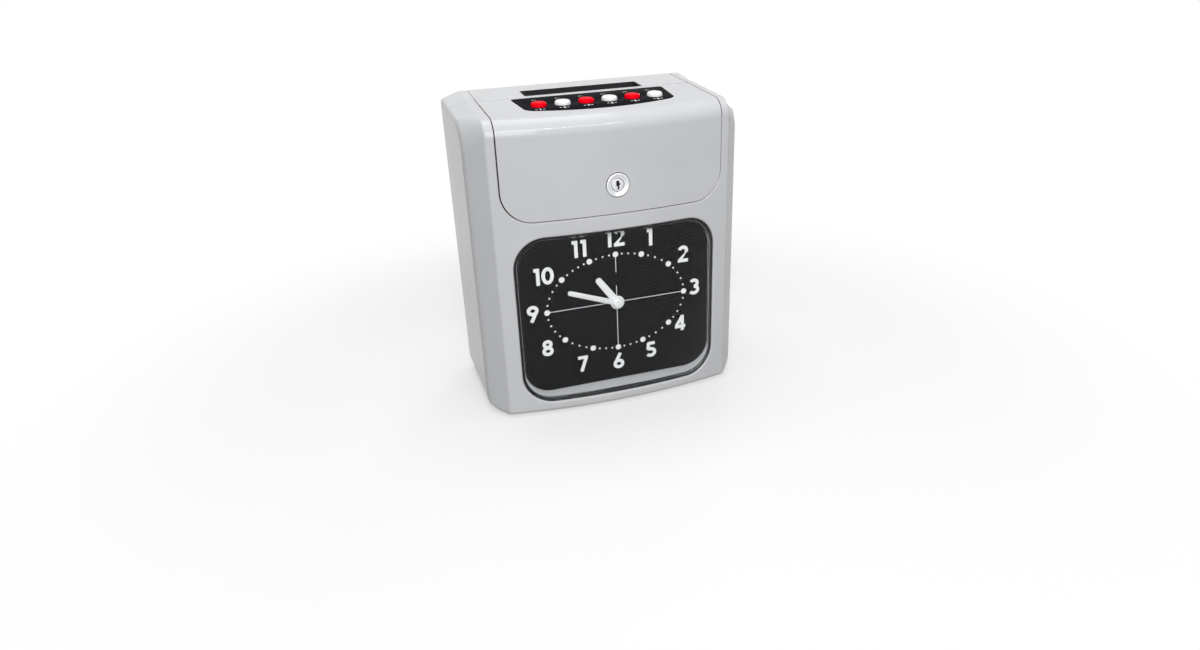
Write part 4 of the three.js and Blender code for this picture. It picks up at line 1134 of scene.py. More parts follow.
    def build_lid(self, skin: Piece) -> None:
        """Makes the lid, with its hinge barrel and the posts of the key board."""
        body = carve(skin, self.lid_space(0), Cut.KEEP)
        tilt = self.form.tilt()
        seat = slab(self.keys.outline(self.fit), Axis.Z, -self.keys.depth - self.fit, 4)
        body = carve(body, moved(seat, tilt))
        for x in self.keys.places():
            hole = drum(Axis.Z, self.keys.hole, -self.wall - 1, 1, (x, self.keys.row), sides=40)
            body = carve(body, moved(hole, tilt))
        lock = (0, LOCK_HEIGHT)
        body = carve(body, drum(Axis.Y, self.lock_hole, -self.far, -30, lock))
        seat_end = self.form.front + self.lock_seat_depth
        body = carve(body, drum(Axis.Y, self.lock_seat, -self.far, seat_end, lock))
        body = soften(body, self.edge)
        axis = (self.hinge, self.hinge_z)
        barrel = drum(Axis.X, self.barrel_radius, -self.lid_half, self.lid_half, axis, 0.2, 24)
        body = carve(body, barrel, Cut.ADD)
        for place in self.keys.posts():
            post = drum(Axis.Z, self.keys.post_radius, -self.keys.board_drop, -self.wall / 2, place, sides=24)
            body = carve(body, moved(post, tilt), Cut.ADD)
        for side in (-1, 1):
            start, end = side * (self.lid_half - self.pin_bore), side * (self.lid_half + 1)
            body = carve(body, drum(Axis.X, self.pin_radius, start, end, axis, sides=24))
        settle(flat_normals(heal(body)), "front_lid_shell", "lid", SHELL, ["front_lid"])

    def build(self) -> None:
        """Makes all the shells."""
        skin = self.skin()
        self.build_front(duplicate(skin))
        self.build_rear(duplicate(skin))
        self.build_lid(duplicate(skin))
        self.build_deck(skin)
        for side in ("left", "right"):
            settle_refined(f"hinge_pin_{side}", 0.15, "turned", "case", STEEL)


@dataclass
class Window(Assembly):
    """The clear window, the frame behind it and the dial's plate."""

    form: CaseForm
    shells: Shells
    set_back: float = 0.5
    thickness: float = 2
    edge: float = 0.6
    flange: float = 4
    dial_rear: float = -43.1
    arbor_hole: float = 3.9
    sill_front: float = -51.6
    sill_side: float = 2.6
    sill_low: float = 3.1
    sill_deep: float = 6.9
    liner_side: float = 2.3
    liner_low: float = 3.0
    liner_depth: float = 0.6
    play: float = 0.15
    rib: float = 0.6
    rib_places: tuple = ((0.5, 1.8), (2.6, 3.9))
    clip_insets: tuple = (1.2, 4.6)
    clip_depths: tuple = (-46.5, -45.6)
    clip_heights: tuple = (113.0, 126.5)
    clip_half: float = 1.6

    def block(self, margin: float, end: float) -> Piece:
        """Makes the block through the window's outline, grown by a margin, as far back as a depth."""
        return slab(self.shells.window_outline(margin), Axis.Y, -self.shells.far, end)

    def build_lens(self) -> None:
        """Makes the bowed lens, with two ribs along its rim's back and two small clips a side."""
        inner = self.set_back + self.thickness
        body = carve(self.form.solid(self.set_back), self.form.solid(inner))
        ribs = carve(self.form.solid(inner - 0.1), self.form.solid(inner + self.rib))
        for start, end in self.rib_places:
            band = carve(self.block(-start, DIAL_FACE), self.block(-end, 0))
            body = carve(body, carve(duplicate(ribs), band, Cut.KEEP), Cut.ADD)
        bpy.data.objects.remove(ribs, do_unlink=True)
        body = carve(body, self.block(-self.shells.gap, DIAL_FACE), Cut.KEEP)
        body = soften(body, self.edge, 3)
        settle(body, "window_lens_moulding", "case", ACRYLIC, ["window_lens"], 60)
        clips = []
        near, far = self.clip_depths
        half = self.clip_half
        for side in (-1, 1):
            start, end = (side * (self.shells.window_half - inset) for inset in self.clip_insets)
            for z in self.clip_heights:
                clips.append(box((start, near, z - half), (end, far, z + half), 0.35, 3))
        settle(merge(clips), "window_clips", "case", ACRYLIC, (), 60)

    def opening(self, side: float, low: float, y: float) -> list[tuple]:
        """Returns a window outline drawn in by one margin at the sides and top and another at the foot."""
        shells = self.shells
        half = shells.window_half - side
        corner = shells.window_corner - side
        outline = rectangle((-half, half), (shells.window_bottom + low, shells.window_top - side), corner, 20)
        return [(x, y, z) for x, z in outline]

    def build_frame(self) -> None:
        """Makes the black liner behind the lens's edge, which in front of the sill is painted shade filling
        the dark gap inside the bowed front, and the sloping sill under the dial.
        """
        near = self.set_back + self.thickness + self.rib + self.play
        rear = DIAL_FACE - self.shells.fit
        room = carve(self.block(self.flange, rear), self.form.solid(near), Cut.KEEP)
        grown = -self.flange - 1
        sill_room = carve(
            loft([self.opening(grown, grown, y) for y in (self.sill_front, 0)]),
            self.form.solid(near + self.liner_depth), Cut.KEEP)
        sill = carve(duplicate(room), duplicate(sill_room), Cut.KEEP)
        liner_and_shade = carve(room, sill_room)
        liner_and_shade = carve(liner_and_shade, loft([self.opening(self.liner_side, self.liner_low, y) for y in (-80, 0)]))
        # At the sides and top the liner is a black moulding; in front of the sill its black is painted shade
        # for the shaded gap inside the bowed front.
        settle(soften(liner_and_shade, 0.15), "window_liner_and_painted_shade", "case", TEXTURED_BLACK)
        slope = (
            (self.sill_low, -80), (self.sill_low, self.sill_front + 0.4),
            (self.sill_deep, rear + 0.01), (self.sill_deep, 0))
        sill = carve(sill, loft([self.opening(self.sill_side, low, y) for low, y in slope]))
        settle(soften(sill, 0.25), "dial_bezel_sill", "case", SILL, ["dial_bezel"])

    def build_plate(self) -> None:
        """Makes the dial's plate."""
        plate = slab(self.shells.window_outline(self.flange - 1), Axis.Y, DIAL_FACE, self.dial_rear)
        plate = carve(plate, self.form.solid(self.set_back + self.thickness + 0.4), Cut.KEEP)
        plate = carve(plate, drum(Axis.Y, self.arbor_hole, -60, -40, (0, DIAL_CENTRE), sides=32))
        settle(soften(plate, 0.2), "dial_plate_printed", "case", DIAL, ["dial_plate"])


@dataclass
class Fittings(Assembly):
    """Feet, case screws, the card throat and the mains inlet."""

    form: CaseForm
    foot_places: tuple = (
        (-78, -32, "front_left"), (78, -32, "front_right"), (-78, 42, "rear_left"), (78, 42, "rear_right"))
    screw_head: float = 49.3
    throat_low: float = 224.94
    inlet_x: float = 61
    inlet_z: float = 32

    def build_feet(self) -> None:
        """Makes the four rubber feet, hollow underneath."""
        profile = [(0, 0.5), (5.4, 0.5), (5.9, 0), (7.1, 0), (7.7, 0.35), (8, 1), (8, 2), (0, 2)]
        for x, y, place in self.foot_places:
            foot = lathe(Axis.Z, profile, (x, y))
            settle(foot, f"foot_{place}_moulded", "case", RUBBER, [f"foot_{place}"])

    def build_screws(self) -> None:
        """Makes the four case screws, with threads and a cross recess in each pan head."""
        top = self.screw_head + 2.4
        tip, pitch, turns = 2.6, 1.4, 26
        core, crest, head = 1.15, 1.6, 3.4
        profile = [(0, tip), (0.9, tip + 1.2)]
        for k in range(turns):
            start = tip + 1.6 + k * pitch
            profile += [(core, start), (crest, start + 0.35), (crest, start + 0.5), (core, start + 0.85)]
        profile += [
            (1.3, self.screw_head - 2), (crest, self.screw_head), (head, self.screw_head), (head, top - 1.1),
            (3.0, top - 0.4), (2.1, top - 0.05), (0, top)]
        arm, half, deep = 1.9, 0.45, 1.3
        for place, (x, z) in SCREW_PLACES.items():
            node = f"case_screw_{place}"
            screw = lathe(Axis.Y, profile, (x, z), 28)
            cross = carve(
                box((x - half, top - deep, z - arm), (x + half, top + 2, z + arm)),
                box((x - arm, top - deep, z - half), (x + arm, top + 2, z + half)), Cut.ADD)
            settle(carve(screw, cross), f"{node}_turned", "case", STEEL, [node])

    def build_throat(self) -> None:
        """Makes the black throat under the card slot."""
        outline = rectangle((-46.8, 46.8), (16.4, 34.6), 1.0, 5)
        body = loft([
            [(x, y, self.throat_low) for x, y in outline],
            [(x, y, self.form.top(y) - 0.15) for x, y in outline]])
        mouth = loft([
            [(x, y, z) for x, y in rectangle((-half, half), (near, far), 0.8, 5)]
            for half, near, far, z in (
                (45.4, 22.5, 28.9, 220), (45.4, 22.5, 28.9, 226.4), (45.5, 21.6, 29.9, 228.2),
                (45.6, 18.3, 32.9, 232.2), (45.9, 17.2, 33.8, 236))])
        body = soften(carve(body, mouth), 0.2)
        settle(body, "card_throat_moulding", "case", TEXTURED_BLACK, ["card_throat"])

    def build_inlet(self) -> None:
        """Makes the mains inlet: a rimmed socket with three blades."""
        x, z = self.inlet_x, self.inlet_z
        body = slab(rectangle((x - 11, x + 11), (z - 8, z + 8), 1.5, 5), Axis.Y, 42, 56)
        corners = [(-9, -6), (9, -6), (9, 2.5), (5.5, 6), (-5.5, 6), (-9, 2.5)]
        mouth = rounded([(x + dx, z + dz) for dx, dz in corners], [1.2, 1.2, 0.8, 0.8, 0.8, 0.8], [4] * 6)
        body = soften(carve(body, slab(mouth, Axis.Y, 45, 60)), 0.3)
        settle(body, "power_inlet_socket", "case", TEXTURED_BLACK, ["power_inlet"])
        blades = [
            box((x + k * 5 - 0.6, 44, z - 2 + lift), (x + k * 5 + 0.6, 50.5, z + 2 + lift), 0.3)
            for k, lift in ((-1, -0.8), (0, 1.2), (1, -0.8))]
        settle(merge(blades), "power_inlet_blades", "case", BRASS)


# The lid's fittings


@dataclass
class KeyPanel(Assembly):
    """The black panel with its six keys, their numbers and the board under them.

    Places are drawn level, with Y from the front's foremost line, and tilted into the sloping top.
    """

    form: CaseForm
    count: int = 6
    pitch: float = 17.8
    row: float = 40.29
    radius: float = 5.9
    hole: float = 6.45
    proud: float = 0.2
    depth: float = 1.1
    height: float = 2.5
    rear: float = 65.5
    front: float = 19
    side_front: float = 30
    half: float = 59.5
    taper: float = 2.5
    corner: float = 6
    corner_share: float = 0.45
    board_drop: float = 12
    board_half: float = 58
    board_depth: float = 26
    post_radius: float = 2.6
    label_height: float = 3.6
    label_row: float = 29.2
    mark_row: float = 57.5
    mark_height: float = 0.04

    def places(self) -> list[float]:
        """Returns the keys' places across the lid."""
        return [(k - (self.count - 1) / 2) * self.pitch for k in range(self.count)]

    def posts(self) -> list[Pair]:
        """Returns the places of the four posts of the key board."""
        x = self.board_half - self.post_radius - 1
        y = self.board_depth / 2 - self.post_radius - 1
        return [(sx * x, self.row + sy * y) for sx, sy in ((-1, -1), (1, -1), (1, 1), (-1, 1))]

    def outline(self, margin: float) -> list[Pair]:
        """Returns the panel's outline, with its bowed front edge, grown by a margin."""
        wide = self.half + margin
        narrow = wide - self.taper
        corner = self.corner + margin
        rear = self.rear + margin
        side = self.side_front - margin
        middle = 2 * (self.front - margin) - side
        inner = side - corner * self.corner_share
        points = [(wide - corner / 2, rear), (-wide + corner / 2, rear)]
        points += sweep_curve(points[-1], (-wide, rear), (-wide, rear - corner / 2), 5)
        points.append((-narrow, side + corner))
        points += sweep_curve(points[-1], (-narrow, side), (-narrow + corner, inner), 7)
        waist = (0, middle + corner * self.corner_share)
        points += sweep_curve(points[-1], waist, (narrow - corner, inner), 28)
        points += sweep_curve(points[-1], (narrow, side), (narrow, side + corner), 7)
        points.append((wide, rear - corner / 2))
        points += sweep_curve(points[-1], (wide, rear), points[0], 5)
        return points[:-1]

    def build_panel(self) -> None:
        """Makes the panel, with a hole for each key."""
        body = slab(self.outline(0), Axis.Z, self.proud - 1.3, self.proud)
        for x in self.places():
            body = carve(body, drum(Axis.Z, self.hole, -5, 5, (x, self.row), sides=48))
        body = moved(soften(body, 0.2), self.form.tilt())
        settle(body, "button_panel_overlay", "lid", OVERLAY, ["button_panel"])

    def build_labels(self) -> None:
        """Prints a number in front of each key and a small mark behind it."""
        lettering = Lettering(self.label_height, depth=0.06)
        dashes = (
            (-5.2, -3.6, self.label_row, 0.4), (0.4, 2.0, self.label_row, 0.4),
            (-1.2, 0.8, self.mark_row, 0.3), (1.4, 2.1, self.mark_row, 0.3))
        top = self.proud + self.mark_height
        numbers, marks = [], []
        for k, x in enumerate(self.places()):
            numbers.append(moved(lettering.number(str(k + 1)), shifted(x - 1.6, self.label_row, self.proud)))
            for start, end, row, half in dashes:
                marks.append(box((x + start, row - half, self.proud), (x + end, row + half, top), 0.015))
        for name, pieces in (("key_numbers", numbers), ("key_marks", marks)):
            settle(moved(merge(pieces), self.form.tilt()), name, "lid", INK)

    def build_keys(self) -> None:
        """Makes the six keys: a domed cap, the flange that holds it and the stem that works its switch."""
        top = self.proud + self.height
        radius = self.radius
        stem = [(0, -7.2), (1.8, -7.2), (2, -7.0), (2, -4.1), (7.1, -4.1), (7.2, -4.0), (7.2, -2.9)]
        profile = stem + [
            (radius, -2.9), (radius, 0.6), (radius - 0.25, top - 1.1), (radius - 0.55, top - 0.62),
            (radius - 1, top - 0.3), (radius - 1.7, top - 0.12), (3, top - 0.04), (0, top)]
        for k, x in enumerate(self.places()):
            key = moved(lathe(Axis.Z, profile, (x, self.row), 56), self.form.tilt())
            finish, slot = (KEY_RED, "key_red") if k % 2 == 0 else (KEY_WHITE, "key_white")
            settle(key, f"button_{k + 1}_cap", f"key_{k + 1}", finish, [f"button_{k + 1}"])

    def build_board(self) -> None:
        """Makes the key board with its switches, a connector and solder joints."""
        top = -self.board_drop - 0.3
        tilt = self.form.tilt()
        half, deep = self.board_half, self.board_depth / 2
        outline = rectangle((-half, half), (self.row - deep, self.row + deep), 2, 4)
        board = slab(outline, Axis.Z, top - 1.6, top)
        for place in self.posts():
            board = carve(board, drum(Axis.Z, 1.2, top - 5, top + 5, place, sides=16))
        board = moved(soften(board, 0.15), tilt)
        settle(board, "keypad_board_laminate", "lid", BOARD, ["keypad_board"])
        bodies, plungers, joints = [], [], []
        for x in self.places():
            bodies.append(box((x - 3, self.row - 3, top), (x + 3, self.row + 3, top + 2.2), 0.3))
            plungers.append(drum(Axis.Z, 1.7, top + 2, top + 3, (x, self.row), 0.2, 20))
            for dx in (-3.4, 3.4):
                for dy in (-2.2, 2.2):
                    joints.append(drum(Axis.Z, 0.7, top - 2.2, top - 1.5, (x + dx, self.row + dy), 0.25, 12))
        bodies.append(box((30, self.row - 11, top - 5.5), (48, self.row - 6, top - 1.6), 0.4))
        for name, pieces, finish, slot in (
            ("switches", bodies, TEXTURED_BLACK, "black_plastic"),
            ("plungers", plungers, ACETAL, "grey_plastic"), ("solder", joints, STEEL, "steel"),
        ):
            settle(moved(merge(pieces), tilt), f"keypad_{name}", "lid", finish)


@dataclass
class Lock(Assembly):
    """The round cam lock in the lid, and the keeper on the case."""

    z: float = LOCK_HEIGHT
    face: float = 54.8

    def build_body(self) -> None:
        """Makes the stepped flange with its barrel."""
        profile = [
            (8.8, 0.3), (8.8, 1.15), (8.68, 1.55), (8.35, 1.85), (7.9, 1.99), (7.4, 1.95), (6.9, 1.7),
            (6.4, 1.3), (6.1, 1.15), (5.1, 1.1), (4.9, 0.95), (4.9, -13), (6.7, -13), (7, -12.7), (7, 0),
            (8.5, 0), (8.8, 0.3)]
        ring = lathe(Axis.Y, [(radius, -self.face - height) for radius, height in profile], (0, self.z), 72)
        settle(ring, "lock_body_turned", "lid", NICKEL, ["lock_body"], 25)

    def build_plug(self) -> None:
        """Makes the plug with its stepped keyhole, and a black block inside the keyhole as painted shade."""
        face = self.face + 1.1
        profile = [
            (0, -face - 0.15), (3.4, -face - 0.12), (4.3, -face), (4.6, -face + 0.25), (4.6, -41.5),
            (0, -41.5)]
        plug = lathe(Axis.Y, profile, (0, self.z), 56)
        for x0, x1, z0, z1 in ((-1.3, 0.9, -0.9, 3.1), (0.8, 1.6, -0.3, 1.4), (-0.4, 0.9, -3.3, -0.8)):
            plug = carve(plug, box((x0, -60, self.z + z0), (x1, -48, self.z + z1)))
        settle(plug, "lock_plug_turned", "lock", NICKEL, ["lock_plug"], 25)
        # A black block set just inside the keyhole is painted shade for the keyhole's depth.
        keyhole_shade = box((-1.5, -54.6, self.z - 3.4), (1.8, -54, self.z + 3.2), 0.1)
        settle(keyhole_shade, "lock_keyhole_painted_shade", "lock", TEXTURED_BLACK)

    def build_back(self) -> None:
        """Makes the nut, the cam with its screw, and the keeper."""
        settle_refined("lock_nut", 0.5, "pressed", "lid", STEEL)
        head = [(0, -40.2), (3.2, -40.2), (3.2, -39.1), (2.9, -38.7), (1.6, -38.5), (0, -38.5)]
        cam = carve(refined("lock_cam", 0.25), lathe(Axis.Y, head, (0, self.z), 32), Cut.ADD)
        cam = carve(cam, box((-0.4, -39.1, self.z - 2.6), (0.4, -38, self.z + 2.6)))
        settle(cam, "lock_cam_stamped", "lock", STEEL, ["lock_cam"])
        settle_refined("keeper_plate", 0.35, "bent", "case", STEEL)


# The dial


@dataclass(frozen=True)
class Line:
    """A straight stroke between two points."""

    x0: float
    y0: float
    x1: float
    y1: float

    def points(self) -> list[Pair]:
        """Returns the stroke's two ends."""
        return [(self.x0, self.y0), (self.x1, self.y1)]


@dataclass(frozen=True)
class Arc:
    """A stroke along an ellipse between two angles in degrees."""

    x: float
    y: float
    across: float
    up: float
    start: float
    end: float

    def points(self) -> list[Pair]:
        """Returns points along the arc."""
        sweep = self.end - self.start
        count = max(8, round(abs(sweep) / 9))
        angles = [radians(self.start + sweep * k / count) for k in range(count + 1)]
        return [(self.x + self.across * cos(a), self.y + self.up * sin(a)) for a in angles]


# Plain geometric figures, as strokes in units of the cap height.
FIGURES: dict[str, list[list]] = {
    "0": [[Arc(0, 0.5, 0.235, 0.405, 0, 360)]],
    "1": [[Line(0.05, 0, 0.05, 1)], [Line(-0.16, 0.905, 0.06, 0.905)]],
    "2": [
        [Arc(0, 0.705, 0.2, 0.2, 168, -38), Line(0.158, 0.582, -0.2, 0.11)],
        [Line(-0.29, 0.095, 0.29, 0.095)],
    ],
    "3": [[Arc(-0.01, 0.7125, 0.19, 0.1925, 150, -92)], [Arc(-0.01, 0.3075, 0.225, 0.2125, 92, -150)]],
    "4": [[Line(0.11, 0, 0.11, 1)], [Line(0.1, 0.94, -0.26, 0.29)], [Line(-0.32, 0.27, 0.29, 0.27)]],
    "5": [
        [Line(-0.15, 0.905, 0.24, 0.905)], [Line(-0.13, 0.95, -0.165, 0.5)],
        [Arc(-0.005, 0.315, 0.23, 0.22, 128, -145)],
    ],
    "6": [[Arc(0, 0.305, 0.22, 0.21, 0, 360)], [Line(-0.185, 0.41, 0.1, 1.0)]],
    "7": [[Line(-0.27, 0.905, 0.28, 0.905)], [Line(0.19, 0.9, -0.1, 0)]],
    "8": [[Arc(0, 0.72, 0.18, 0.185, 0, 360)], [Arc(0, 0.295, 0.215, 0.2, 0, 360)]],
    "9": [[Arc(0, 0.695, 0.22, 0.21, 0, 360)], [Line(0.185, 0.59, -0.1, 0)]],
}


@dataclass
class Lettering:
    """Plain figures, made of flat strokes."""

    height: float
    stroke: float = 0.19
    depth: float = 0.12
    wide: float = 1.0
    advance: float = 0.68
    narrow: float = 0.46

    def stroke_piece(self, parts: Sequence) -> Piece:
        """Makes one stroke as a flat ribbon in the XY plane."""
        points = [point for part in parts for point in part.points()]
        closed = len(points) > 2 and dist(points[0], points[-1]) < 1e-6
        if closed:
            points = points[:-1]
        curve = bpy.data.curves.new("stroke", "CURVE")
        curve.dimensions = "3D"
        curve.twist_mode = "Z_UP"
        curve.extrude = self.stroke * self.height * MM / 2
        spline = curve.splines.new("POLY")
        spline.points.add(len(points) - 1)
        for target, (x, y) in zip(spline.points, points):
            target.co = (x * self.wide * self.height * MM, y * self.height * MM, 0, 1)
            target.tilt = pi / 2
        spline.use_cyclic_u = closed
        piece = bpy.data.objects.new("stroke", curve)
        bpy.context.collection.objects.link(piece)
        activate(piece)
        bpy.ops.object.convert(target="MESH")
        piece = bpy.context.object
        return apply_modifier(piece, "SOLIDIFY", thickness=self.depth * MM, offset=0)

    def figure(self, sign: str) -> Piece:
        """Makes one figure, with its strokes joined into one body."""
        pieces = [self.stroke_piece(parts) for parts in FIGURES[sign]]
        whole = pieces[0]
        for piece in pieces[1:]:
            whole = carve(whole, piece, Cut.ADD)
        return whole

    def number(self, text: str) -> Piece:
        """Makes a number centred on the origin, in the XY plane."""
        widths = [self.wide * (self.narrow if sign == "1" else self.advance) for sign in text]
        start = -sum(widths) / 2
        pieces = []
        for sign, width in zip(text, widths):
            place = Matrix.Translation(Vector((start + width / 2, -0.5, 0)) * self.height * MM)
            pieces.append(moved(self.figure(sign), place))
            start += width
        return merge(pieces)


@dataclass
class Dial(Assembly):
    """The dial's printing, its hands and the cap on them."""

    centre: float = DIAL_CENTRE
    front: float = DIAL_FACE
    ring_across: float = 55.8
    ring_up: float = 38.8
    hour_dot: float = 2.25
    minute_dot: float = 0.7
    cap_height: float = 13.4
    line: float = 0.45
    bare_low: float = 13.5
    bare_high: float = 24.5
    ink: float = 0.12
    hub: float = 4.2
    minutes: float = 48.4
    hour: int = 10

    def upright(self, x: float, z: float) -> Matrix:
        """Stands a flat piece on the dial's face, turned to the front."""
        return shifted(x, self.front - self.ink / 2, self.centre + z) @ Matrix.Rotation(pi / 2, 4, "X")

    def build_numerals(self) -> None:
        """Prints the twelve numbers."""
        places = {
            12: (0, 51.7), 1: (27.8, 48.5), 2: (55.2, 31.2), 3: (64.8, 2.4), 4: (53.2, -27.2),
            5: (27.4, -46), 6: (0, -51), 7: (-29.6, -48), 8: (-57.2, -29.2), 9: (-66.8, 0.9),
            10: (-56.8, 29.7), 11: (-28.1, 47.1),
        }
        lettering = Lettering(self.cap_height, stroke=0.205, wide=1.08)
        pieces = [moved(lettering.number(str(hour)), self.upright(x, z)) for hour, (x, z) in places.items()]
        settle(merge(pieces), "dial_numerals", "case", INK)

    def minute_angles(self) -> list[float]:
        """Returns the places of the small dots, evenly apart along the oval between the hours."""
        counts = [3, 3, 4, 4, 3, 3, 3, 3, 4, 4, 4, 3]
        return [
            30 * (hour + (k + 1) / (count + 1)) for hour, count in enumerate(counts) for k in range(count)]

    def on_oval(self, degrees: float) -> Pair:
        """Returns the point of the oval in a clock direction."""
        turn = radians(degrees)
        reach = 1 / hypot(sin(turn) / self.ring_across, cos(turn) / self.ring_up)
        return reach * sin(turn), reach * cos(turn)

    def build_dots(self) -> None:
        """Prints the hour dots and the minute dots on their oval."""
        for name, radius, angles in (
            ("hour_dots", self.hour_dot, [30.0 * hour for hour in range(12)]),
            ("minute_dots", self.minute_dot, self.minute_angles()),
        ):
            places = [self.on_oval(angle) for angle in angles]
            pieces = [
                drum(Axis.Y, radius, self.front - self.ink, self.front, (x, self.centre + z), sides=28)
                for x, z in places]
            settle(merge(pieces), name, "case", INK)

    def build_lines(self) -> None:
        """Prints the fine cross between the dots, with a bare place over the middle."""
        half = self.line / 2
        spans = (
            (self.ring_across, -half, half), (half, -self.ring_up, self.bare_low),
            (half, self.bare_high, self.ring_up))
        level, plumb, rest = (
            box((-x, self.front - self.ink / 2, self.centre + low), (x, self.front, self.centre + high))
            for x, low, high in spans)
        settle(merge([carve(level, plumb, Cut.ADD), rest]), "dial_cross", "case", INK)

    def hand(
        self, length: float, width: float, tip: float, hub: float, front: float, rear: float, turn: float,
    ) -> Piece:
        """Makes one stamped hand with its hub, turned to its time.

        Args:
            length: From the middle to the tip.
            width: The blade's width near the hub.
            tip: The blade's width at the tip.
            hub: The hub's radius.
            front: The place of its front face.
            rear: The place of its rear face.
            turn: Its clock direction in degrees.

        Returns:
            The hand.
        """
        start = asin(width / 2 / hub)
        turns = [start + (2 * pi - 2 * start) * k / 40 for k in range(41)]
        outline = [(hub * sin(angle), hub * cos(angle)) for angle in turns]
        ends = [pi * (k / 12 - 0.5) for k in range(13)]
        outline += [(tip / 2 * sin(angle), length + tip / 2 * cos(angle)) for angle in ends]
        hand = soften(slab(outline, Axis.Y, front, rear), 0.12)
        place = Matrix.Translation((0, 0, self.centre * MM)) @ Matrix.Rotation(radians(turn), 4, "Y")
        return moved(hand, place)

    def build_hands(self) -> None:
        """Makes both hands with their arbor and pipe, and the cap."""
        middle = (0, self.centre)
        turn = 6 * self.minutes
        minute = self.hand(40.2, 4.2, 3.8, 4.4, -47.8, -47.1, turn)
        settle(minute, "minute_hand_stamped", "minute", LACQUER, ["minute_hand"])
        hour = self.hand(24.6, 5.6, 5.0, 5.5, -46.5, -45.8, 30 * self.hour + self.minutes / 2)
        hour = carve(hour, drum(Axis.Y, 2.6, -60, -40, middle, sides=32))
        settle(hour, "hour_hand_stamped", "hour", LACQUER, ["hour_hand"])
        cap = lathe(Axis.Y, [
            (0, -49.5), (2.2, -49.46), (3.5, -49.28), (self.hub - 0.15, -48.9), (self.hub, -48.5),
            (self.hub, -48.1), (0, -48.1)], middle)
        settle(cap, "hand_cap_turned", "minute", LACQUER, ["hand_cap"], 50)
        settle_refined("minute_arbor", 0.15, "turned", "minute", BRASS)
        settle_refined("hour_pipe", 0.1, "turned", "hour", BRASS)


# The works


def thread(place: Pair, radius: float, depth: float, start: float, end: float, pitch: float) -> Piece:
    """Makes a screw along X whose four starts wind round it.

    Args:
        place: The screw's place on Y and Z.
        radius: Its outer radius.
        depth: The thread's depth.
        start: Where it starts on X.
        end: Where it ends.
        pitch: How far one turn runs.

    Returns:
        The screw.
    """
    y, z = place
    rings = []
    steps, sides, starts = 120, 24, 4
    share = sides // starts
    for k in range(steps + 1):
        x = start + (end - start) * k / steps
        turn = 2 * pi * (x - start) / pitch
        points = []
        for n in range(sides):
            angle = 2 * pi * n / sides
            reach = radius - depth * (n % share in (0, share - 1))
            points.append((x, y + reach * cos(angle + turn), z + reach * sin(angle + turn)))
        rings.append(points)
    return loft(rings)


@dataclass
class Movement(Assembly):
    """The quartz movement behind the dial, with its motion work."""

    centre: float = DIAL_CENTRE
    half: float = 29
    rear: float = -25.1
    line: float = 0.3
    knob_x: float = 14.53

    def build_works(self) -> None:
        """Makes the case with its cover line and battery bay, the wheels and the knob."""
        case = refined("movement_case", 0.4)
        inner = self.half - self.line
        groove = carve(
            slab(rectangle((-40, 40), (self.centre - 40, self.centre + 40), 4), Axis.Y, -34.4, -33.9),
            slab(rectangle((-inner, inner), (self.centre - inner, self.centre + inner), 4), Axis.Y, -36, -32))
        case = carve(case, groove)
        settle(case, "movement_case_moulding", "case", TEXTURED_BLACK, ["movement_case"])
        cell = drum(Axis.X, 6.8, -24, 24, (-24.6, self.centre - 17), 0.6, 40)
        bay = box((-26, self.rear - 0.5, self.centre - 26), (26, self.rear + 1.2, self.centre - 8), 0.6)
        cell = carve(cell, box((-30, -40, 0), (30, self.rear - 1.2, 300)))
        settle(bay, "movement_battery_bay", "case", TEXTURED_BLACK)
        settle(cell, "movement_battery", "case", SLEEVE)
        settle_refined("motion_wheel", 0.08, "cut", "motion_work", BRASS)
        place = (self.knob_x, self.centre)
        knob = lathe(Axis.Y, [
            (0, -24.8), (5.4, -24.8), (6, -24.3), (6, -21.3), (5.5, -20.8), (1.4, -20.8), (1.2, -21.2),
            (0, -21.2)], place)
        knob = drilled(knob, 16, place, 6.15, Axis.Y, 0.4, -26, -20)
        settle(knob, "set_knob_moulded", "motion_work", ACETAL, ["set_knob"])


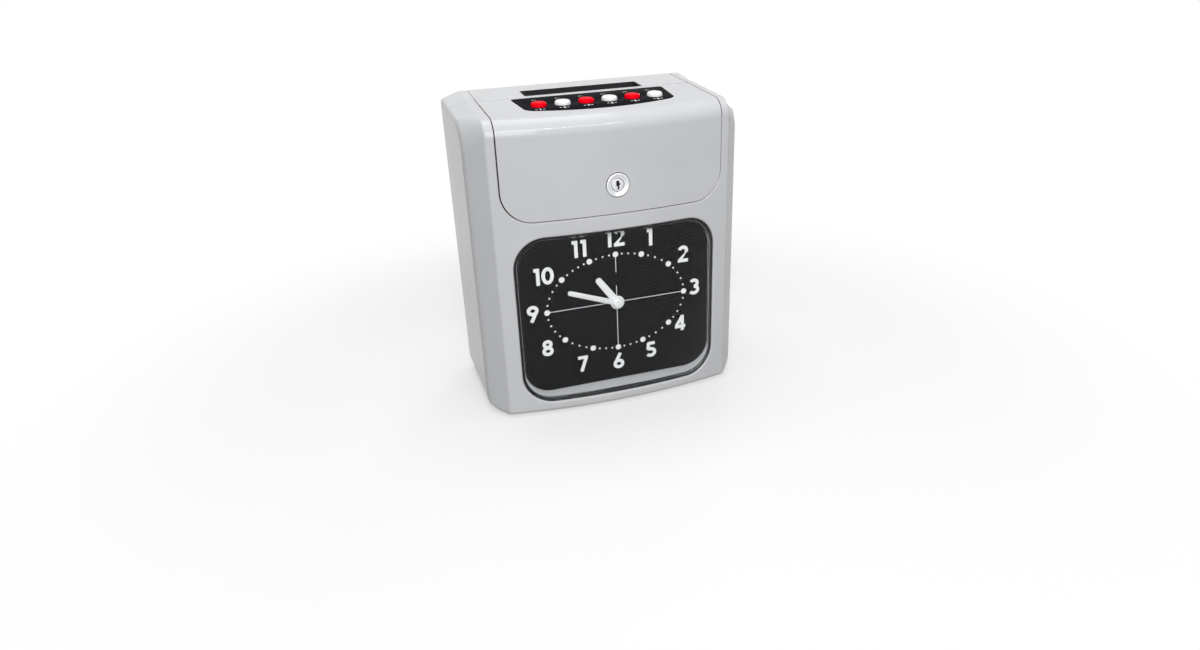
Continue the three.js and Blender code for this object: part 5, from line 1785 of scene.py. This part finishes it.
@dataclass
class Feed(Assembly):
    """The card's feed: chute, platen, shaft, rollers, wheels and motor."""

    shaft_y: float = 17.7
    height: float = 122
    pinion_y: float = -2.11
    pinion_z: float = 108.13
    gear_left: float = 60.6
    gear_width: float = 4

    def build_chute(self) -> None:
        """Makes the chute's two guides and the platen between them."""
        for node, rounding in (("chute_front", 0.25), ("chute_rear", 0.3)):
            settle_refined(node, rounding, "guide", "case", TEXTURED_BLACK)
        ribs = [
            box((x - 0.7, 30.2, low), (x + 0.7, 31.8, high), 0.25)
            for low, high in ((107, 160), (176, 222)) for x in (-40, -24, 24, 40)]
        settle(merge(ribs), "chute_ribs", "case", TEXTURED_BLACK)
        settle_refined("platen_bar", 0.5, "moulded", "case", RUBBER)

    def build_rollers(self) -> None:
        """Makes the shaft, its roller and the pinch roller."""
        shaft = lathe(Axis.X, [
            (0, -62), (1.7, -62), (2, -61.7), (2, -60.9), (1.6, -60.9), (1.6, -60.3), (2, -60.3), (2, 65.3),
            (1.7, 65.6), (0, 65.6)], (self.shaft_y, self.height), 32)
        settle(shaft, "feed_shaft_turned", "feed_drive", STEEL, ["feed_shaft"])
        half, bore, groove, crest, pitch = 15, 2.3, 7.55, 7.85, 2.42
        profile = [(bore, -half)]
        for k in range(12):
            start = -half + 0.4 + k * pitch
            profile += [(groove, start), (crest, start + 0.25), (crest, start + 2.0), (groove, start + 2.3)]
        profile += [(7.5, half), (bore, half), (bore, -half)]
        roller = lathe(Axis.X, profile, (self.shaft_y, self.height))
        settle(roller, "feed_roller_moulded", "feed_drive", RUBBER, ["feed_roller"])
        settle_refined("pinch_roller", 0.4, "moulded", "pinch", ACETAL)

    def build_wheels(self) -> None:
        """Makes the gear with its rim and web, and the brass pinion."""
        gear = refined("feed_gear", 0.1)
        axis = (self.shaft_y, self.height)
        left, right = self.gear_left, self.gear_left + self.gear_width
        for start, end in ((left - 1, left + 1.2), (right - 1.2, right + 1)):
            web = carve(drum(Axis.X, 15, start, end, axis), drum(Axis.X, 5, start - 1, end + 1, axis))
            gear = carve(gear, web)
        gear = drilled(gear, 5, axis, 10, Axis.X, 3, left - 1, right + 1, 32)
        settle(gear, "feed_gear_moulded", "feed_drive", ACETAL, ["feed_gear"])
        settle_refined("feed_pinion", 0.1, "cut", "feed_pinion", BRASS)

    def build_motor(self) -> None:
        """Makes the motor: a can with a rolled rim, and its two terminals."""
        y, z = self.pinion_y, self.pinion_z
        can = lathe(Axis.X, [
            (2.3, 57.7), (6, 57.7), (6, 57.2), (12.2, 57.2), (12.8, 56.9), (13, 56.3), (13, 36.4),
            (12.7, 35.6), (12.1, 35.2), (5.2, 35.2), (5.2, 33.7), (0, 33.7), (0, 51.4), (2.3, 51.4),
            (2.3, 57.7)], (y, z), 64)
        for angle in (0, pi):
            slot = box((37, -2.4, 11), (43, 2.4, 14))
            slot = moved(slot, Matrix.Rotation(angle, 4, "X"))
            can = carve(can, moved(slot, shifted(0, y, z)))
        settle(can, "feed_motor_can", "case", ZINC, ["feed_motor"])
        ends = [box((32.4, at - 1.2, z - 0.3), (35.6, at + 1.2, z + 0.3), 0.1) for at in (y - 8, y + 8)]
        settle(merge(ends), "feed_motor_terminals", "case", BRASS)


@dataclass
class Printer(Assembly):
    """The needle head on its carriage, the rod and screw, and the ribbon."""

    height: float = 168
    screw_y: float = -9
    rod_y: float = 4
    cassette_low: float = 186
    cassette_high: float = 197
    knob_place: tuple = (-29, -11)

    def build_drive(self) -> None:
        """Makes the guide rod, the lead screw and its motor."""
        profile = [(0, -59.6), (2.1, -59.6), (2.5, -59.2), (2.5, 59.2), (2.1, 59.6), (0, 59.6)]
        rod = lathe(Axis.X, profile, (self.rod_y, self.height), 32)
        settle(rod, "guide_rod_ground", "case", STEEL, ["guide_rod"])
        middle = (self.screw_y, self.height)
        ends = [
            lathe(Axis.X, [
                (0, -61), (1.4, -61), (1.7, -60.6), (2.4, -60.2), (2.4, -57.3), (3.8, -57.3), (4.1, -57),
                (4.1, -54.7), (3.8, -54.4), (2.45, -54.4), (2.2, -53.6), (0, -53.6)], middle, 32),
            lathe(Axis.X, [
                (0, 53.6), (2.2, 53.6), (2.45, 54.4), (3.8, 54.4), (4.1, 54.7), (4.1, 57), (3.8, 57.3),
                (2.4, 57.3), (2.4, 66.6), (2, 67), (0, 67)], middle, 32)]
        screw = thread(middle, 2.5, 0.45, -53.8, 53.8, 20)
        settle(merge([screw, *ends]), "lead_screw_rolled", "screw", STEEL, ["lead_screw"])
        can = lathe(Axis.X, [
            (2.85, 59.9), (5, 59.9), (5, 60.3), (10.3, 60.3), (10.9, 60.6), (11, 61.2), (11, 78.6),
            (10.7, 79.3), (10.1, 79.9), (0, 79.9), (0, 67.5), (2.85, 67.5), (2.85, 59.9)], middle, 64)
        settle(can, "carriage_motor_can", "case", ZINC, ["carriage_motor"])
        plug = box((67, self.screw_y - 14.2, self.height - 5), (76, self.screw_y - 9.5, self.height + 5), 0.5)
        settle(plug, "carriage_motor_connector", "case", INK)

    def build_head(self) -> None:
        """Makes the carriage and the finned needle head."""
        carriage = refined("print_carriage", 0.6)
        for x in (-9.5, 9.5):
            carriage = carve(carriage, box((x - 2.8, -4.6, 174), (x + 2.8, -0.6, 180), 0.3))
        settle(carriage, "print_carriage_moulded", "carriage", ACETAL, ["print_carriage"])
        head = refined("print_head", 0.35)
        for k in range(4):
            y = 10.9 + k * 1.15
            for side in (-1, 1):
                head = carve(head, box((side * 12, y, 159), (side * 6.4, y + 0.55, 177)))
        settle(heal(head), "print_head_cast", "carriage", TEXTURED_BLACK, ["print_head"])
        nose = box((-1.2, 21.6, 164.4), (1.2, 21.95, 171.6), 0.1)
        needles = [drum(Axis.Y, 0.14, 21.9, 22.15, (0, 165 + 0.75 * k), sides=10) for k in range(9)]
        settle(merge([nose, *needles]), "print_head_needles", "carriage", STEEL)

    def build_ribbon(self) -> None:
        """Makes the cassette, its ribbon and the winding knob."""
        low, high = self.cassette_low, self.cassette_high
        body = refined("ribbon_cassette", 0.5)
        body = carve(body, slab(rectangle((-14, 36), (-22.5, -4), 1.5), Axis.Z, high - 0.5, high + 5))
        seam = carve(
            slab(rectangle((-70, 70), (-40, 40), 4), Axis.Z, 191.3, 191.7),
            slab(rectangle((-57.3, 57.3), (-25.6, 25), 4), Axis.Z, 190, 193))
        body = carve(body, seam)
        settle(body, "ribbon_cassette_moulding", "case", TEXTURED_BLACK, ["ribbon_cassette"])
        band = box((-50, 18.2, low + 1.5), (50, 18.35, high - 1.5))
        settle(band, "ribbon_band", "case", RUBBER)
        profile = [
            (0, 193.5), (1.8, 193.5), (2, 193.8), (2, 197.3), (6.7, 197.3), (7, 197.7), (7, 201.3),
            (6.4, 201.9), (5.6, 202), (5.2, 201.5), (0, 201.5)]
        x, y = self.knob_place
        knob = drilled(lathe(Axis.Z, profile, (x, y)), 18, (x, y), 7.15, Axis.Z, 0.42, 196, 203)
        wing = box((x - 5, y - 0.6, 201.4), (x + 5, y + 0.6, 202), 0.2)
        knob = carve(knob, wing, Cut.ADD)
        settle(knob, "ribbon_knob_moulded", "ribbon", ACETAL, ["ribbon_knob"])


@dataclass
class Electrics(Assembly):
    """The frame with the main board, the transformer and the battery."""

    board_front: float = 45
    board_low: float = 60
    board_high: float = 180
    board_half: float = 70

    def build_frame(self) -> None:
        """Makes the folded frame with rounded folds."""
        settle_refined("mech_frame", 0.35, "folded", "case", ZINC)
        screws = []
        for side in (-1, 1):
            for y, z in ((-14, 12), (34, 12), (-14, 192), (34, 60)):
                head = drum(Axis.X, 2.6, side * 59.5, side * 61.0, (y, z), 0.4, 28)
                slot = box((side * 60.4, y - 0.35, z - 2.2), (side * 62, y + 0.35, z + 2.2))
                screws.append(carve(head, slot))
        settle(merge(screws), "frame_screws", "case", STEEL)

    def chip(self, x: float, z: float, wide: float, tall: float, legs: int) -> tuple[Piece, list[Piece]]:
        """Makes one chip with legs along two sides."""
        front = self.board_front
        body = box((x, front - 3.2, z), (x + wide, front - 0.5, z + tall), 0.25)
        pins = []
        for k in range(legs):
            at = z + tall * (k + 0.5) / legs
            for start, end in ((x - 1.1, x + 0.1), (x + wide - 0.1, x + wide + 1.1)):
                pins.append(box((start, front - 1.9, at - 0.25), (end, front + 0.05, at + 0.25), 0.05))
        return body, pins

    def build_board(self) -> None:
        """Makes the main board, its chips, connectors, capacitors and resistors."""
        front, low, high = self.board_front, self.board_low, self.board_high
        board = slab(rectangle((-self.board_half, self.board_half), (low, high), 1.5, 4), Axis.Y, front, 46.6)
        for x in (-64, 64):
            for z in (66, 174):
                board = carve(board, drum(Axis.Y, 1.6, 40, 50, (x, z), sides=20))
        settle(soften(board, 0.12), "main_board_laminate", "case", BOARD, ["main_board"])
        blacks, pins = [], []
        for place in ((-10, 146, 20, 20, 12), (24, 150, 9, 19, 9), (-46, 142, 7, 12, 7), (28, 118, 7, 10, 7)):
            body, legs = self.chip(*place)
            blacks.append(body)
            pins += legs
        for k in range(6):
            x = -8 + 6.5 * k
            pins.append(drum(Axis.Z, 0.3, 101.5, 114.5, (x, front - 0.9), sides=10))
            blacks.append(drum(Axis.Z, 1.15, 104.5, 111.5, (x, front - 1.3), 0.3, 20))
        plugs = [
            box((left, front - 5, foot), (right, front + 0.05, head), 0.4)
            for left, right, foot, head in ((-58, -34, 72, 80), (-58, -44, 96, 104), (-24, -12, 66, 73))]
        plugs += [
            box((left, front - 6.6, foot), (right, front - 4.9, foot + 4.6), 0.3)
            for left, right, foot in ((-56.5, -35.5, 73.5), (-56.5, -45.5, 97.5), (-22.5, -13.5, 67.3))]
        cans = []
        for x, z, radius in ((45, 85, 5), (30, 80, 4), (52, 104, 3.2), (12, 76, 3.2), (-30, 120, 3.2)):
            profile = [
                (0, 0.05), (radius, 0.05), (radius, -0.8), (radius - 0.3, -1.2), (radius, -1.6),
                (radius, -4.5), (radius - 0.4, -5), (0, -5)]
            cans.append(lathe(Axis.Y, [(reach, front + deep) for reach, deep in profile], (x, z), 32))
        for name, pieces, finish in (
            ("chips", blacks, TEXTURED_BLACK), ("leads", pins, STEEL), ("connectors", plugs, INK),
            ("capacitors", cans, SLEEVE),
        ):
            settle(merge(pieces), f"board_{name}", "case", finish)

    def build_transformer(self) -> None:
        """Makes the transformer: laminations, bobbin and winding."""
        left, front, low = -52, 1, 6.5
        core = box((left, front + 5, low), (left + 44, front + 31, low + 42), 0.5)
        for k in range(12):
            y = front + 7 + 2 * k
            core = carve(core, carve(
                box((left - 1, y, low - 1), (left + 45, y + 0.25, low + 43)),
                box((left + 0.35, y - 1, low + 0.35), (left + 43.65, y + 1, low + 41.65))))
        settle(core, "transformer_core", "case", ZINC, ["transformer"])
        bobbin = [
            box((left + 7, front + start, low + 7), (left + 37, front + end, low + 35), 0.5)
            for start, end in ((0, 1.2), (34.8, 36))]
        settle(merge(bobbin), "transformer_bobbin", "case", INK)
        coil = [
            box((left + 9, front + start, low + 9), (left + 35, front + end, low + 33), 1.6, 4)
            for start, end in ((1.2, 5.2), (30.8, 34.8))]
        settle(merge(coil), "transformer_coil", "case", WINDING)

    def build_battery(self) -> None:
        """Makes the battery: three cells in one sleeve, with a fold at each end."""
        rings = []
        sides, power, dip, cells = 96, 0.42, 0.035, 3
        for y, shrink in ((7, 1.4), (7.6, 0.5), (8.6, 0), (35.4, 0), (36.4, 0.5), (37, 1.4)):
            wide, tall = 19 - shrink, 12 - shrink
            points = []
            for n in range(sides):
                angle = 2 * pi * n / sides
                c, s = cos(angle), sin(angle)
                x = wide * copysign(abs(c) ** power, c)
                z = tall * copysign(abs(s) ** power, s)
                wave = 1 - cos(2 * cells * pi * (x + wide) / (2 * wide))
                z *= 1 - dip * wave * (abs(x) < wide * 0.98)
                points.append((33 + x, y, 18.5 + z))
            rings.append(points)
        settle(loft(rings), "backup_battery_sleeve", "case", SLEEVE, ["backup_battery"])


# The setting


@dataclass
class Studio(Assembly):
    """The camera, the lamps and the pale floor."""

    place: tuple[float, float, float] = (-0.18467, -0.59855, 0.32835)
    yaw: float = 17.09
    pitch: float = -24.39
    roll: float = -2.4
    focal: float = 817
    picture: float = 1200
    sensor: float = 36
    aim: tuple[float, float, float] = (0, 0, 0.12)
    white: tuple[float, float, float, float] = (1, 1, 1, 1)
    fill: float = 0.13
    fill_colour: str = "F4F5F8"
    floor_size: float = 30
    floor_colour: str = "6C6C6C"
    floor_seen: str = "F2F2F2"
    white_from: float = 0.2
    white_at: float = 0.5
    white_share: float = 0.45

    def build_camera(self) -> None:
        """Sets the camera where the photograph was taken from, and shows colours as they are."""
        bpy.context.scene.view_settings.view_transform = "Standard"
        yaw, pitch, roll = (radians(value) for value in (self.yaw, self.pitch, self.roll))
        ahead = Vector((sin(yaw) * cos(pitch), cos(yaw) * cos(pitch), sin(pitch)))
        level = Vector((cos(yaw), -sin(yaw), 0))
        above = level.cross(ahead)
        right = cos(roll) * level + sin(roll) * above
        up = -sin(roll) * level + cos(roll) * above
        turn = Matrix((right, up, -ahead)).transposed().to_4x4()
        camera = bpy.data.objects.new("camera", bpy.data.cameras.new("camera"))
        bpy.context.collection.objects.link(camera)
        camera.data.sensor_width = self.sensor
        camera.data.lens = self.focal / self.picture * self.sensor
        camera.data.clip_start = 0.01
        camera.matrix_world = Matrix.Translation(self.place) @ turn
        bpy.context.scene.camera = camera

    def lamp(self, name: str, place: Point, size: float, power: float, depth: float | None = None) -> None:
        """Hangs a soft lamp that shines on the clock, square unless it has a depth of its own."""
        light = bpy.data.lights.new(name, "AREA")
        light.shape = "RECTANGLE"
        light.size = size
        light.size_y = depth or size
        light.energy = power
        holder = bpy.data.objects.new(name, light)
        bpy.context.collection.objects.link(holder)
        holder.location = place
        ahead = Vector(self.aim) - Vector(place)
        holder.rotation_euler = ahead.to_track_quat("-Z", "Y").to_euler()

    def seen_or_mirrored(self, tree: bpy.types.NodeTree):
        """Returns a socket that is 1 for what the camera sees, also in a mirror or through clear parts."""
        path = add_node(tree, "LightPath")
        both = add_node(tree, "Math", {"operation": "MAXIMUM"}, {
            0: path.outputs["Is Camera Ray"], 1: path.outputs["Is Glossy Ray"]})
        return add_node(tree, "Math", {"operation": "MAXIMUM"}, {
            0: both.outputs[0], 1: path.outputs["Is Transmission Ray"]}).outputs[0]

    def build_floor(self) -> None:
        """Lays a wide floor that keeps the clock's shadow and is white further out."""
        deselect()
        bpy.ops.mesh.primitive_plane_add(size=self.floor_size)
        floor = bpy.context.object
        floor.name = "floor"
        material, tree = new_material("white_floor")
        seen = self.seen_or_mirrored(tree)
        colour = add_node(tree, "Mix", {"data_type": "RGBA"}, {
            0: seen, MIX_A: linear(self.floor_colour), MIX_B: linear(self.floor_seen)})
        lit = add_node(tree, "BsdfDiffuse", inputs={"Color": colour.outputs[MIX_OUT]})
        white = add_node(tree, "Emission", inputs={"Color": self.white, "Strength": 1.0})
        place = add_node(tree, "TexCoord")
        reach = add_node(tree, "VectorMath", {"operation": "LENGTH"}, {0: place.outputs["Object"]})
        out = add_node(tree, "MapRange", {"interpolation_type": "SMOOTHSTEP"}, {
            "Value": reach.outputs["Value"], "From Min": self.white_from, "From Max": self.white_at,
            "To Min": self.white_share, "To Max": 1.0})
        share = add_node(tree, "Math", {"operation": "MULTIPLY"}, {0: out.outputs[0], 1: seen})
        surface = add_node(tree, "MixShader", inputs={
            0: share.outputs[0], 1: lit.outputs[0], 2: white.outputs[0]})
        add_node(tree, "OutputMaterial", inputs={"Surface": surface.outputs[0]})
        floor.data.materials.append(material)

    def build_world(self) -> None:
        """Gives soft light from all round, white where the camera sees it."""
        world = bpy.data.worlds.new("studio")
        bpy.context.scene.world = world
        world.use_nodes = True
        tree = world.node_tree
        tree.nodes.clear()
        seen = self.seen_or_mirrored(tree)
        fill = add_node(tree, "Background", inputs={
            "Color": linear(self.fill_colour), "Strength": self.fill})
        white = add_node(tree, "Background", inputs={"Color": self.white, "Strength": 1.0})
        mixed = add_node(tree, "MixShader", inputs={
            0: seen, 1: fill.outputs[0], 2: white.outputs[0]})
        add_node(tree, "OutputWorld", inputs={"Surface": mixed.outputs[0]})

    def build_lamps(self) -> None:
        """Hangs the four lamps."""
        self.lamp("lamp_top", (0.0, 0.2, 1.7), 1.0, 13.5)
        self.lamp("lamp_front", (-0.55, -1.75, 1.0), 1.0, 28.5)
        self.lamp("lamp_rear", (1.1, 1.6, 0.22), 0.4, 10)
        self.lamp("lamp_strip", (0.15, -1.4, 1.3), 1.0, 8, 0.05)


def dress_packed_nodes() -> None:
    """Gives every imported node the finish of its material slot."""
    slots = {part["node"]: part["material_slot"] for part in frame["record"]["subparts"]}
    for name, node in frame["nodes"].items():
        node.data.materials.clear()
        node.data.materials.append(SLOT_FINISHES[slots[name]].material())


def main() -> None:
    """Builds the clock, piece by piece."""
    logging.basicConfig(level=logging.INFO, format="%(message)s")
    Studio().build()
    dress_packed_nodes()
    form = CaseForm()
    keys = KeyPanel(form)
    shells = Shells(form, keys)
    assemblies = (
        shells, Window(form, shells), Fittings(form), keys, Lock(), Dial(), Movement(), Feed(), Printer(),
        Electrics())
    for assembly in assemblies:
        assembly.build()


if __name__ == "__main__":
    main()
